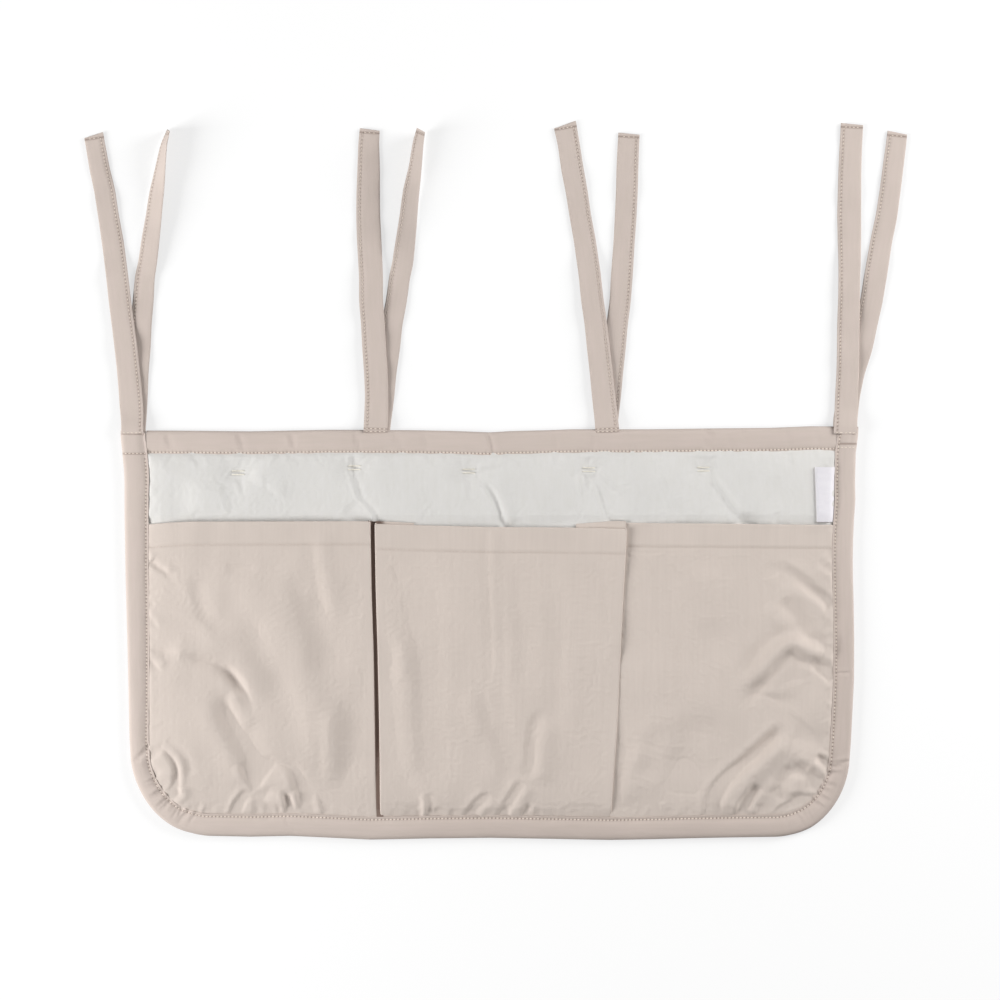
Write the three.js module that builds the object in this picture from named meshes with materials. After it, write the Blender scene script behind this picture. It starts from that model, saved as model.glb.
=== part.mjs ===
// Hanging pocket organizer: a quilted cloth panel with three pockets and four pairs of ties.
// It lies on its back as it does when it is put down. X runs along the top edge,
// Y runs from the bottom edge towards the ties, and Z points up out of the pockets.
// The origin is the middle of the back face. All sizes are in millimetres.
import * as THREE from 'three';

// Panel outline
const panelTopWidth = 600;
const panelWaistWidth = 594;
const panelBottomWidth = 585;
const panelHeight = 332;
const flareHeight = 50;
const cornerRadius = 65;
const bottomSag = 3;

// Bindings
const tapeThickness = 0.8;
const sideTapeWidth = 16;
const topTapeWidth = 22;
const tapeFold = 0.5;

// Cloth layers and the clear space between them
const layerGap = 0.3;
const backThickness = 0.6;
const waddingEdgeThickness = 1;
const liningThickness = 0.6;
const crownHeight = 2.8;
const crownRun = 30;
const seamFlat = 4.5;
const backDropRun = 9;

// Thread tacks that quilt the lining to the back
const tackXs = [-205, -109.5, -16.5, 81, 174];
const tackBelowTop = 32.3;
const tackDip = 1.1;
const tackDipRadius = 15;
const tackLength = 8;
const tackWidth = 2;
const tackHeight = 0.4;
const tackLift = 0.5;

// Pockets
const pocketThickness = 0.8;
const hemExtra = 0.4;
const hemDepth = 18;
const sideMouthBelowTop = 73.5;
const centreMouthBelowTop = 77.5;
const leftSeamX = -92.5;
const rightSeamX = 99;
const sideMouthGap = 6.2;
const centreMouthGap = 4.2;
const sidePocketEase = 55;
const pocketRise = 45;
const dividerGap = 3.3;

// Folded gussets at both sides of the centre pocket
const gussetThickness = 0.5;
const gussetGap = 0.4;
const leftGussetDepth = 31;
const rightGussetDepth = 28.5;
const centreOverlap = 12.5;
const overlapLift = 1.9;
const gussetMouthInset = 1.5;

// Bare label, a tape folded into a loop under the right-hand binding
const labelReach = 13.6;
const labelWidth = 43;
const labelThickness = 0.35;
const labelLoopGap = 0.5;
const labelBelowTop = 29.5;

// Ties
const tieLength = 252;
const tieWidth = 19;
const tieThickness = 0.8;
const tieSlope = 18;
const tieSplit = 122;
const tieSettle = 34;
const tieTurnRun = 40;
const tieSeamDrop = 0.2;
const innerTieLeftX = -90;
const innerTieRightX = 95.5;

// Grid steps
const cornerAngles = [90, 75, 60, 45, 38, 28, 15, 0];
const hingeRowStep = 4.7;
const openRowShares = [0.16, 0.33, 0.5, 0.68];
const edgeSteps = [8, 20, 36];
const nearestColumns = 1.5;
const hemStep = 0.5;
const labelSteps = 8;
const tieSteps = 20;

// Levels and places that follow from the sizes above
const topY = panelHeight / 2;
const bottomY = -panelHeight / 2;
const cornerY = bottomY + cornerRadius;
const bottomHalf = panelBottomWidth / 2;
const flatHalf = bottomHalf - cornerRadius - tapeThickness - layerGap;
const edgeInset = tapeThickness + layerGap;
const sideMouthY = topY - sideMouthBelowTop;
const centreMouthY = topY - centreMouthBelowTop;
const topTapeInnerY = topY - topTapeWidth;
const bottomSeamY = bottomY + sideTapeWidth;
const tackY = topY - tackBelowTop;
const backLevel = tapeThickness + layerGap;
const waddingLevel = backLevel + backThickness + layerGap;
const liningLevel = waddingLevel + waddingEdgeThickness + layerGap;
const liningTopLevel = liningLevel + liningThickness;
const pocketLevel = liningTopLevel + layerGap;
const sideTapeHeight = pocketLevel + pocketThickness + layerGap + tapeThickness;
const topTapeHeight = liningTopLevel + layerGap + tapeThickness;
const gussetStack = 3 * gussetGap + 2 * gussetThickness;

// Colours read off the cloth
const beigeCloth = new THREE.MeshStandardMaterial({ color: 0xcfc2b9, roughness: 0.92, metalness: 0 });
const beigeTape = new THREE.MeshStandardMaterial({ color: 0xcabdb3, roughness: 0.92, metalness: 0 });
const whiteLining = new THREE.MeshStandardMaterial({ color: 0xdddcd8, roughness: 0.9, metalness: 0 });
const whiteFibre = new THREE.MeshStandardMaterial({ color: 0xf1f0ec, roughness: 1, metalness: 0 });
const whiteLabel = new THREE.MeshStandardMaterial({ color: 0xe9e6ea, roughness: 0.7, metalness: 0 });
const creamThread = new THREE.MeshStandardMaterial({ color: 0xd8cfc0, roughness: 0.8, metalness: 0 });

const clamp01 = (t) => Math.min(1, Math.max(0, t));
const lerp = (a, b, t) => a + (b - a) * t;

// A step from 0 to 1 with level ends.
function smooth(t) {
  const c = clamp01(t);
  return c * c * (3 - 2 * c);
}

// Half the panel's width at a height, for the outline moved inwards by inset.
function halfWidth(y, inset = 0) {
  if (y < cornerY) {
    const reach = cornerRadius - inset;
    const drop = cornerY - y;
    return bottomHalf - cornerRadius + Math.sqrt(Math.max(0, reach * reach - drop * drop));
  }
  const waistY = topY - flareHeight;
  const side = lerp(bottomHalf, panelWaistWidth / 2, clamp01((y - cornerY) / (waistY - cornerY)));
  const flare = ((panelTopWidth - panelWaistWidth) / 2) * smooth((y - waistY) / flareHeight);
  return side + flare - inset;
}

// How far a point lies inside the inner edge of the nearest binding.
function insideBinding(x, y) {
  const past = Math.abs(x) - (bottomHalf - cornerRadius);
  const below = cornerY - y;
  const fromSide =
    past > 0 && below > 0
      ? cornerRadius - Math.hypot(past, below)
      : Math.min(halfWidth(Math.max(y, cornerY)) - Math.abs(x), y - bottomY);
  return Math.min(fromSide - sideTapeWidth, topTapeInnerY - y);
}

// The bottom edge hangs a little lower in the middle than at its corners.
function sagged(x, y) {
  const across = Math.max(0, 1 - (x / bottomHalf) ** 2);
  const down = clamp01((topY - y) / panelHeight);
  return y - bottomSag * across * down * down;
}

// Heights of the layers over a point of the panel
function tackPull(x, y) {
  let pull = 0;
  for (const tackX of tackXs) {
    const r = Math.hypot(x - tackX, y - tackY) / tackDipRadius;
    pull += Math.exp(-r * r * 2);
  }
  return tackDip * pull;
}

function backBottom(x, y) {
  return backLevel * (1 - smooth((insideBinding(x, y) - seamFlat) / backDropRun));
}

function liningTop(x, y) {
  const inside = insideBinding(x, y);
  const crown = crownHeight * smooth((inside - seamFlat) / crownRun);
  const pull = tackPull(x, y) * smooth(inside / seamFlat);
  return liningTopLevel + Math.max(0, crown - pull);
}

// Clear space that a side pocket keeps over the lining, away from the seam at seamX
function sidePocketGap(x, y, seamX) {
  const fromSeam = smooth(Math.abs(x - seamX) / sidePocketEase);
  const fromBinding = smooth((insideBinding(x, y) - seamFlat) / pocketRise);
  return sideMouthGap * fromSeam * fromBinding;
}

// The centre pocket bends up where it lies over the right-hand pocket.
function overlapRise(x) {
  return overlapLift * clamp01((x - (rightSeamX - centreOverlap)) / (2 * centreOverlap));
}

function centreBottom(x, y) {
  const start = smooth((y - bottomSeamY - layerGap) / (2 * hingeRowStep));
  const leftFold = leftSeamX + leftGussetDepth;
  const rightFold = rightSeamX - rightGussetDepth;
  const fromFold = smooth(Math.min(x - leftFold, rightFold - x) / leftGussetDepth);
  const opened = centreMouthGap * fromFold * smooth((y - bottomSeamY) / pocketRise);
  const offset = lerp(layerGap, gussetStack + overlapRise(x) + opened, start);
  return liningTop(x, y) + offset;
}

// The hem at a pocket's mouth is thicker, but is pressed flat under the binding.
function hemAt(x, y, mouthY) {
  return y > mouthY - hemDepth ? hemExtra * smooth(insideBinding(x, y) / seamFlat) : 0;
}

// Turns a geometry the right way out, and makes the mesh.
function meshOf(name, positions, indices, material) {
  let volume = 0;
  const a = new THREE.Vector3();
  const b = new THREE.Vector3();
  const c = new THREE.Vector3();
  for (let i = 0; i < indices.length; i += 3) {
    a.fromArray(positions, 3 * indices[i]);
    b.fromArray(positions, 3 * indices[i + 1]);
    c.fromArray(positions, 3 * indices[i + 2]);
    volume += a.dot(b.cross(c));
  }
  const facing = volume < 0 ? indices.slice().reverse() : indices;
  const geometry = new THREE.BufferGeometry();
  geometry.setAttribute('position', new THREE.Float32BufferAttribute(positions, 3));
  geometry.setIndex(facing);
  geometry.computeVertexNormals();
  const mesh = new THREE.Mesh(geometry, material);
  mesh.name = name;
  return mesh;
}

// A closed sheet on a grid: rows of [x, y] points, a height for its underside and a thickness.
function sheet(name, rows, underside, thickness, material) {
  const across = rows[0].length;
  const positions = [];
  for (const layer of [0, 1]) {
    for (const row of rows) {
      for (const [x, y] of row) {
        positions.push(x, sagged(x, y), underside(x, y) + layer * thickness(x, y));
      }
    }
  }
  const at = (layer, j, i) => (layer * rows.length + j) * across + i;
  const indices = [];
  const quad = (a, b, c, d) => indices.push(a, b, c, a, c, d);
  for (let j = 0; j + 1 < rows.length; j++) {
    for (let i = 0; i + 1 < across; i++) {
      quad(at(1, j, i), at(1, j, i + 1), at(1, j + 1, i + 1), at(1, j + 1, i));
      indices.push(at(0, j, i), at(0, j + 1, i + 1), at(0, j, i + 1));
      indices.push(at(0, j, i), at(0, j + 1, i), at(0, j + 1, i + 1));
    }
    quad(at(0, j, 0), at(1, j, 0), at(1, j + 1, 0), at(0, j + 1, 0));
    quad(at(0, j + 1, across - 1), at(1, j + 1, across - 1), at(1, j, across - 1), at(0, j, across - 1));
  }
  for (let i = 0; i + 1 < across; i++) {
    const last = rows.length - 1;
    quad(at(0, 0, i + 1), at(1, 0, i + 1), at(1, 0, i), at(0, 0, i));
    quad(at(0, last, i), at(1, last, i), at(1, last, i + 1), at(0, last, i + 1));
  }
  return meshOf(name, positions, indices, material);
}

// A closed bar from rings of points; capOutline is the ring's flat shape, used to close both ends.
// The second half of each ring is split along the other diagonal, so that a thin bar stays as thick
// where it twists.
function sweep(name, rings, capOutline, material) {
  const positions = rings.flat(2);
  const size = capOutline.length;
  const indices = [];
  for (let s = 0; s + 1 < rings.length; s++) {
    for (let i = 0; i < size; i++) {
      const next = (i + 1) % size;
      const [a, b] = [s * size + i, s * size + next];
      if (i < size / 2) {
        indices.push(a, b, b + size, a, b + size, a + size);
      } else {
        indices.push(a, b, a + size, b, b + size, a + size);
      }
    }
  }
  const caps = THREE.ShapeUtils.triangulateShape(capOutline.map(([u, v]) => new THREE.Vector2(u, v)), []);
  const turned = THREE.ShapeUtils.isClockWise(capOutline.map(([u, v]) => new THREE.Vector2(u, v)));
  const end = (rings.length - 1) * size;
  for (const [a, b, c] of caps) {
    if (turned) {
      indices.push(a, b, c, end + c, end + b, end + a);
    } else {
      indices.push(c, b, a, end + a, end + b, end + c);
    }
  }
  return meshOf(name, positions, indices, material);
}

// Grid of the panel: the outer columns keep their distance from the edge and close up round the
// bottom corners, and the inner ones stay straight.
const refHalf = halfWidth(cornerY, edgeInset);

function gridRow(columns, y) {
  const half = halfWidth(y, edgeInset);
  const squeeze = Math.min(1, (half - flatHalf) / (refHalf - flatHalf));
  return columns.map((c) => {
    const inward = refHalf - Math.abs(c);
    const x = Math.abs(c) <= flatHalf ? Math.abs(c) : half - inward * squeeze;
    return [Math.sign(c) * x, y];
  });
}

const edgeColumns = [0, sideTapeWidth, ...edgeSteps.map((step) => sideTapeWidth + step)];
const leftColumns = edgeColumns.map((d) => d - refHalf);
const rightColumns = edgeColumns.map((d) => refHalf - d).reverse();
const seamColumns = [leftSeamX - dividerGap, leftSeamX, leftSeamX + leftGussetDepth];
const rightSeamColumns = [rightSeamX - rightGussetDepth, rightSeamX, rightSeamX + dividerGap];
const tackStep = 0.85 * tackDipRadius;
const tackColumns = tackXs.flatMap((x) => [x - tackStep, x, x + tackStep]);

// Sorted column places with near doubles left out.
function columnsFrom(...lists) {
  const sorted = lists.flat().sort((a, b) => a - b);
  return sorted.filter((c, i) => i === 0 || c - sorted[i - 1] > nearestColumns);
}

const panelColumns = columnsFrom(leftColumns, rightColumns, seamColumns, rightSeamColumns, tackColumns);
const cornerRows = cornerAngles.map(
  (angle) => cornerY - (cornerRadius - edgeInset) * Math.sin(THREE.MathUtils.degToRad(angle)),
);
const middleRows = openRowShares.map((share) => lerp(cornerY, tackY, share));
const belowHem = (mouthY) => middleRows.filter((y) => y < mouthY - hemDepth - nearestColumns);
const stripRows = [tackY - 2 * tackStep, tackY - tackStep, tackY, topTapeInnerY, topY - edgeInset];
const panelRows = [...cornerRows, ...belowHem(centreMouthY), sideMouthY, ...stripRows];

function panelSheet(name, columns, rows, underside, thickness, material) {
  const grid = rows.map((y) => gridRow(columns, y));
  return sheet(name, grid, underside, thickness, material);
}

// Inner layers: back cloth, wadding and lining share one grid, so they keep their spacing.
const backCloth = panelSheet(
  'back_cloth',
  panelColumns,
  panelRows,
  backBottom,
  () => backThickness,
  beigeCloth,
);
const waddingBottom = (x, y) => backBottom(x, y) + backThickness + layerGap;
const waddingDepth = (x, y) => liningTop(x, y) - liningThickness - layerGap - waddingBottom(x, y);
const wadding = panelSheet('wadding', panelColumns, panelRows, waddingBottom, waddingDepth, whiteFibre);
const liningBottom = (x, y) => liningTop(x, y) - liningThickness;
const frontLining = panelSheet(
  'front_lining',
  panelColumns,
  panelRows,
  liningBottom,
  () => liningThickness,
  whiteLining,
);

// Section of a tape folded over the panel's edge: u runs inwards from the edge, v runs up.
function tapeSection(width, height) {
  const t = tapeThickness;
  return [
    [tapeFold, 0],
    [width, 0],
    [width, t],
    [t, t],
    [t, height - t],
    [width, height - t],
    [width, height],
    [tapeFold, height],
    [0, height - tapeFold],
    [0, tapeFold],
  ];
}

// Stations down the left side, round the bottom and up the right side, with inward directions
function outlineStations() {
  const half = [[halfWidth(topY), topY, 1, 0]];
  for (const y of panelRows.filter((row) => row > cornerY).reverse()) {
    half.push([halfWidth(y), y, 1, 0]);
  }
  for (const angle of [...cornerAngles].reverse()) {
    const turn = THREE.MathUtils.degToRad(angle);
    const [nx, ny] = [Math.cos(turn), Math.sin(turn)];
    half.push([bottomHalf - cornerRadius + cornerRadius * nx, cornerY - cornerRadius * ny, nx, ny]);
  }
  for (const share of [0.66, 0.33]) {
    half.push([(bottomHalf - cornerRadius) * share, bottomY, 0, 1]);
  }
  const left = half.map(([x, y, nx, ny]) => [-x, y, nx, ny]);
  const right = half.map(([x, y, nx, ny]) => [x, y, -nx, ny]).reverse();
  return [...left, [0, bottomY, 0, 1], ...right];
}

const sideSection = tapeSection(sideTapeWidth, sideTapeHeight);
const edgeRings = outlineStations().map(([x, y, nx, ny]) =>
  sideSection.map(([u, v]) => {
    const [px, py] = [x + nx * u, y + ny * u];
    return [px, sagged(px, py), v];
  }),
);
const edgeBinding = sweep('edge_binding', edgeRings, sideSection, beigeTape);

const topSection = tapeSection(topTapeWidth, topTapeHeight);
const topRings = [-1, 1].map((side) =>
  topSection.map(([u, v]) => {
    const half = halfWidth(topY - u) - sideTapeWidth - layerGap;
    return [side * half, sagged(half, topY - u), v];
  }),
);
const topBinding = sweep('top_binding', topRings, topSection, beigeTape);

// Thread tacks lie in the dips that they pull into the lining.
const tacks = tackXs.map((x, i) => {
  const tack = new THREE.Mesh(new THREE.BoxGeometry(tackLength, tackWidth, tackHeight), creamThread);
  tack.name = `quilting_tack_${i + 1}`;
  tack.position.set(x, sagged(x, tackY), liningTop(x, tackY) + tackLift + tackHeight / 2);
  return tack;
});

// Side pockets: sewn under the binding outside and below, and along a seam inside
const pocketRows = [
  ...cornerRows,
  ...belowHem(sideMouthY),
  sideMouthY - hemDepth,
  sideMouthY - hemDepth + hemStep,
  sideMouthY,
];

function sidePocket(name, seamX, keep) {
  const inner = [0, 0.25, 0.55, 1].map((share) => seamX + Math.sign(seamX) * share * sidePocketEase);
  const columns = columnsFrom(panelColumns, inner).filter(keep);
  const underside = (x, y) => liningTop(x, y) + layerGap + sidePocketGap(x, y, seamX);
  const thickness = (x, y) => pocketThickness + hemAt(x, y, sideMouthY);
  return panelSheet(name, columns, pocketRows, underside, thickness, beigeCloth);
}

const leftPocketEdge = leftSeamX - dividerGap;
const leftPocket = sidePocket('pocket_front_left', leftPocketEdge, (c) => c <= leftPocketEdge);
const rightPocket = sidePocket('pocket_front_right', rightSeamX, (c) => c >= rightSeamX);

// Centre pocket: its front is wider than its place, so that it stands off on folded gussets.
const centreRows = [
  bottomSeamY + layerGap,
  bottomSeamY + layerGap + hingeRowStep,
  bottomSeamY + layerGap + 2 * hingeRowStep,
  ...cornerRows.filter((y) => y > bottomSeamY + 3 * hingeRowStep),
  ...belowHem(centreMouthY),
  centreMouthY - hemDepth,
  centreMouthY - hemDepth + hemStep,
  centreMouthY,
];

// The right edge of the centre pocket leans out towards the mouth.
function centreRightEdge(y) {
  const lean = clamp01((y - bottomSeamY) / (centreMouthY - bottomSeamY));
  return rightSeamX - layerGap + centreOverlap * lean;
}

const centreShares = [0, 0.08, 0.16, 0.24, 0.32, 0.42, 0.5, 0.58, 0.68, 0.76, 0.84, 0.92, 1];
const centrePocket = sheet(
  'pocket_front_centre',
  centreRows.map((y) => centreShares.map((s) => [lerp(leftSeamX, centreRightEdge(y), s), y])),
  centreBottom,
  (x, y) => pocketThickness + hemAt(x, y, centreMouthY),
  beigeCloth,
);

// A gusset is one strip folded back on itself: a back leaf, a fold and a front leaf.
function gusset(name, foldX, backEdge, frontEdge) {
  const t = gussetThickness;
  const levels = [gussetGap, gussetGap + t, 2 * gussetGap + t, 2 * gussetGap + 2 * t];
  const turn = Math.sign(backEdge(0) - foldX);
  const shares = [1, 0.5, 0];
  const outline = (y) => {
    const back = (s) => lerp(foldX, backEdge(y), s);
    const front = (s) => lerp(foldX, frontEdge(y), s);
    const inner = foldX + turn * t;
    return [
      ...shares.map((s) => [back(s), levels[0], 0]),
      ...shares.map((s) => [front(1 - s), levels[3], 1 - s]),
      [frontEdge(y), levels[2], 1],
      [inner, levels[2], 0],
      [inner, levels[1], 0],
      [backEdge(y), levels[1], 0],
    ];
  };
  const rows = panelRows.filter((y) => y > bottomSeamY + 2 * hingeRowStep && y < centreMouthY - hemDepth);
  rows.push(centreMouthY - gussetMouthInset);
  const rings = rows.map((y) =>
    outline(y).map(([x, level, front]) => {
      const lift = front ? overlapRise(x) : 0;
      return [x, sagged(x, y), liningTop(x, y) + level + lift];
    }),
  );
  const cap = outline(rows[0]).map(([x, level]) => [x, level]);
  return sweep(name, rings, cap, beigeCloth);
}

const leftFoldX = leftSeamX + leftGussetDepth;
const rightFoldX = rightSeamX - rightGussetDepth;
const leftGusset = gusset('gusset_left', leftFoldX, () => leftSeamX, () => leftSeamX);
const rightGusset = gusset('gusset_right', rightFoldX, () => rightSeamX - layerGap, centreRightEdge);

// Top of the cloth at the right-hand side: the lining, or the pocket that lies on it
function clothTop(x, y) {
  if (y > sideMouthY + layerGap) {
    return liningTop(x, y);
  }
  const pocketBottom = liningTop(x, y) + layerGap + sidePocketGap(x, y, rightSeamX);
  return pocketBottom + pocketThickness + hemAt(x, y, sideMouthY);
}

// Label loop: both ends under the binding, the fold towards the middle of the panel
function makeLabel() {
  const t = labelThickness;
  const height = 2 * t + labelLoopGap;
  const labelTopY = topY - labelBelowTop;
  const labelBottomY = labelTopY - labelWidth;
  const rows = Array.from({ length: labelSteps + 1 }, (_, k) => lerp(labelBottomY, labelTopY, k / labelSteps));
  const baseX = Math.min(...rows.map((y) => halfWidth(y))) - sideTapeWidth - layerGap;
  const tipX = baseX - labelReach;
  const z = Math.max(...rows.map((y) => clothTop(tipX, y))) + layerGap;
  const section = [
    [baseX, 0],
    [tipX + t, 0],
    [tipX, t],
    [tipX, height - t],
    [tipX + t, height],
    [baseX, height],
    [baseX, height - t],
    [tipX + 2 * t, height - t],
    [tipX + 2 * t, t],
    [baseX, t],
  ];
  const rings = [labelTopY, labelBottomY].map((y) => section.map(([x, v]) => [x, y, z + v]));
  return sweep('care_label', rings, section, whiteLabel);
}

// Ties: lean is the tip's direction in degrees to the right of straight up, bow how far the middle
// swings out to the right and ripple what its waves take off its reach, both as shares of the tie's
// length, and twist is how far its tip is turned, in degrees.
const cornerTieX = panelTopWidth / 2 - tieWidth / 2;
const tiePairs = [
  {
    name: 'tie_1',
    x: -cornerTieX,
    seamZ: sideTapeHeight,
    front: { lean: -7.3, bow: 0.015, ripple: 0.036, twist: 0 },
    rear: { lean: 6.4, bow: -0.022, ripple: 0.024, twist: 76 },
  },
  {
    name: 'tie_2',
    x: innerTieLeftX,
    seamZ: topTapeHeight,
    front: { lean: -1.6, bow: -0.009, ripple: 0.02, twist: 0 },
    rear: { lean: 7.5, bow: -0.006, ripple: 0.014, twist: -68 },
  },
  {
    name: 'tie_3',
    x: innerTieRightX,
    seamZ: topTapeHeight,
    front: { lean: -7.7, bow: 0.013, ripple: 0, twist: 0 },
    rear: { lean: 4.1, bow: 0.012, ripple: 0.036, twist: 0 },
  },
  {
    name: 'tie_4',
    x: cornerTieX,
    seamZ: sideTapeHeight,
    front: { lean: 1.5, bow: 0.004, ripple: 0.008, twist: 0 },
    rear: { lean: 9.6, bow: 0.0095, ripple: 0.022, twist: 0 },
  },
];

const tieSection = [
  [-1, -1],
  [1, -1],
  [1, 1],
  [-1, 1],
];

function tie(name, baseX, seamZ, way, isFront) {
  const leanTurn = THREE.MathUtils.degToRad(way.lean);
  const drift = tieLength * Math.sin(leanTurn);
  const reach = tieLength * (Math.cos(leanTurn) - way.ripple);
  const bow = 4 * tieLength * way.bow;
  const under = isFront ? tieThickness + layerGap : 0;
  const seamLift = seamZ - tieSeamDrop - 2 * tieThickness - layerGap;
  const places = [layerGap, tieSlope * 0.25, tieSlope * 0.5, tieSlope * 0.75, tieSlope];
  for (let k = 1; k <= tieSteps; k++) {
    places.push(lerp(tieSlope, reach, k / tieSteps));
  }
  const rings = places.map((s) => {
    const t = s / reach;
    const x = baseX + drift * t + bow * t * (1 - t);
    const lean = Math.atan((drift + bow * (1 - 2 * t)) / reach) * smooth((s - tieSlope) / tieTurnRun);
    const turn = THREE.MathUtils.degToRad(way.twist) * clamp01((s - tieSplit) / (reach - tieSplit)) ** 0.7;
    const settled = under * (1 - smooth((s - tieSplit) / tieSettle));
    const level = settled + seamLift * (1 - smooth(s / tieSlope));
    const raised = (tieWidth / 2) * Math.abs(Math.sin(turn)) + (tieThickness / 2) * Math.cos(turn);
    const across = new THREE.Vector3(Math.cos(lean), -Math.sin(lean), 0).multiplyScalar(Math.cos(turn));
    across.z = Math.sin(turn);
    const up = new THREE.Vector3(Math.cos(lean), -Math.sin(lean), 0).multiplyScalar(-Math.sin(turn));
    up.z = Math.cos(turn);
    const centre = new THREE.Vector3(x, topY + s, level + raised);
    return tieSection.map(([u, v]) =>
      centre
        .clone()
        .addScaledVector(across, (u * tieWidth) / 2)
        .addScaledVector(up, (v * tieThickness) / 2)
        .toArray(),
    );
  });
  return sweep(name, rings, tieSection, beigeTape);
}

const ties = tiePairs.flatMap(({ name, x, seamZ, front, rear }) => [
  tie(`${name}_front`, x, seamZ, front, true),
  tie(`${name}_rear`, x, seamZ, rear, false),
]);

const organizer = new THREE.Group();
organizer.add(backCloth, wadding, frontLining, edgeBinding, topBinding);
organizer.add(leftPocket, rightPocket, centrePocket, leftGusset, rightGusset);
organizer.add(makeLabel(), ...tacks, ...ties);

export default organizer;
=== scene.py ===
# Hanging pocket organizer: a quilted cotton panel with three pockets and four pairs of ties,
# laid flat and seen from above. Sizes are in millimetres; mm turns them into metres.
import math

import bpy
import numpy as np
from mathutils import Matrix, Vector
from mathutils.kdtree import KDTree


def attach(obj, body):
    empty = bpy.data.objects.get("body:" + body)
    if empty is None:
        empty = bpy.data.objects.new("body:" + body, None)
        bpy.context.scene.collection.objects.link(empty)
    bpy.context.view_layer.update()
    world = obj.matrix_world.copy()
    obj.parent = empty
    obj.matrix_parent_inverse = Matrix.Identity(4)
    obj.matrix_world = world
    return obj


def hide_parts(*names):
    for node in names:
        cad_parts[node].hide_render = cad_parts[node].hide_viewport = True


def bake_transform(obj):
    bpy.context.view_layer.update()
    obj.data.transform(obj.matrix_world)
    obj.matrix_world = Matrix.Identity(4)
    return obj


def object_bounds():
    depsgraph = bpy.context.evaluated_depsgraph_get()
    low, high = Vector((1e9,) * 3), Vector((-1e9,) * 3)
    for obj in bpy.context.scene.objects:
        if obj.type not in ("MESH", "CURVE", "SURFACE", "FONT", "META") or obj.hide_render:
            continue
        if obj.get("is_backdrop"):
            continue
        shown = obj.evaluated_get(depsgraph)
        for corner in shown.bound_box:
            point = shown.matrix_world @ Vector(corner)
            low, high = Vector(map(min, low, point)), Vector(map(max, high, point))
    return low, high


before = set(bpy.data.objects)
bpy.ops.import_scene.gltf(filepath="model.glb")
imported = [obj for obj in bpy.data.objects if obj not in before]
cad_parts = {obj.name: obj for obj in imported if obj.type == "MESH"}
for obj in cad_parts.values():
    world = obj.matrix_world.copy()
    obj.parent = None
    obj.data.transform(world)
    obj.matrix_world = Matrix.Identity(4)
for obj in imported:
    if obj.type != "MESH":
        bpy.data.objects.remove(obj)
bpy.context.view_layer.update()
mm = 0.001
print("frame loaded:", len(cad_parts), "nodes")

# Camera and light

camera = {
    "place": (8.6, 109.2, 3062),  # straight above the middle of the picture
    "lens": 135,
    "reach": 60,  # in metres, as Blender wants it
}
lamps = {  # name: (place, size, power, aim)
    "leftSoftbox": ((-1930, -260, 830), 1000, 49, (0, 60, 0)),
    "rightSoftbox": ((1740, 820, 820), 1000, 38.5, (0, 60, 0)),
}
surroundings = {
    "skyFill": 0.24,
    "floorColour": "#A4A4A4",
    "floorGlow": 0.64,  # for the camera alone, so that the floor is white and keeps its shadow
    "floorSize": 9000,
    "floorDrop": 0.3,
}


def toLinear(code):
    values = [int(code[i : i + 2], 16) / 255 for i in (1, 3, 5)]
    return tuple(v / 12.92 if v <= 0.04045 else ((v + 0.055) / 1.055) ** 2.4 for v in values) + (1,)


def addNode(tree, kind, inputs=None, **settings):
    node = tree.nodes.new(kind)
    for name, value in settings.items():
        setattr(node, name, value)
    for name, value in (inputs or {}).items():
        if isinstance(value, bpy.types.NodeSocket):
            tree.links.new(value, node.inputs[name])
        else:
            node.inputs[name].default_value = value
    return node


def blankMaterial(name):
    material = bpy.data.materials.new(name)
    material.use_nodes = True
    material.node_tree.nodes.clear()
    return material, material.node_tree


def aimedAt(place, target):
    return (Vector(target) - Vector(place)).to_track_quat("-Z", "Y").to_euler()


cameraData = bpy.data.cameras.new("camera")
cameraData.lens = camera["lens"]
cameraData.clip_end = camera["reach"]
cameraObject = bpy.data.objects.new("camera", cameraData)
cameraObject.location = [v * mm for v in camera["place"]]
bpy.context.scene.collection.objects.link(cameraObject)
bpy.context.scene.camera = cameraObject
bpy.context.scene.view_settings.view_transform = "Standard"

for name, (place, size, power, aim) in lamps.items():
    lampData = bpy.data.lights.new(name, "AREA")
    lampData.shape = "SQUARE"
    lampData.size = size * mm
    lampData.energy = power
    lamp = bpy.data.objects.new(name, lampData)
    lamp.location = [v * mm for v in place]
    lamp.rotation_euler = aimedAt(place, aim)
    bpy.context.scene.collection.objects.link(lamp)

world = bpy.data.worlds.new("studio")
bpy.context.scene.world = world
world.use_nodes = True
tree = world.node_tree
tree.nodes.clear()
rays = addNode(tree, "ShaderNodeLightPath")
direct, mirrored, through = (
    rays.outputs[f"Is {kind} Ray"] for kind in ("Camera", "Glossy", "Transmission")
)
seen = addNode(tree, "ShaderNodeMath", {0: direct, 1: mirrored}, operation="MAXIMUM")
seen = addNode(tree, "ShaderNodeMath", {0: seen.outputs[0], 1: through}, operation="MAXIMUM")
fill = addNode(tree, "ShaderNodeBackground", {"Color": (1, 1, 1, 1), "Strength": surroundings["skyFill"]})
white = addNode(tree, "ShaderNodeBackground", {"Color": (1, 1, 1, 1), "Strength": 1})
mixed = addNode(
    tree, "ShaderNodeMixShader", {"Fac": seen.outputs[0], 1: fill.outputs[0], 2: white.outputs[0]}
)
addNode(tree, "ShaderNodeOutputWorld", {"Surface": mixed.outputs[0]})

bpy.ops.object.select_all(action="DESELECT")
floorPlace = (0, 0, -surroundings["floorDrop"] * mm)
bpy.ops.mesh.primitive_plane_add(size=surroundings["floorSize"] * mm, location=floorPlace)
floor = bpy.context.object
floor.name = "floor"
bpy.ops.object.transform_apply(location=True)
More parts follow.
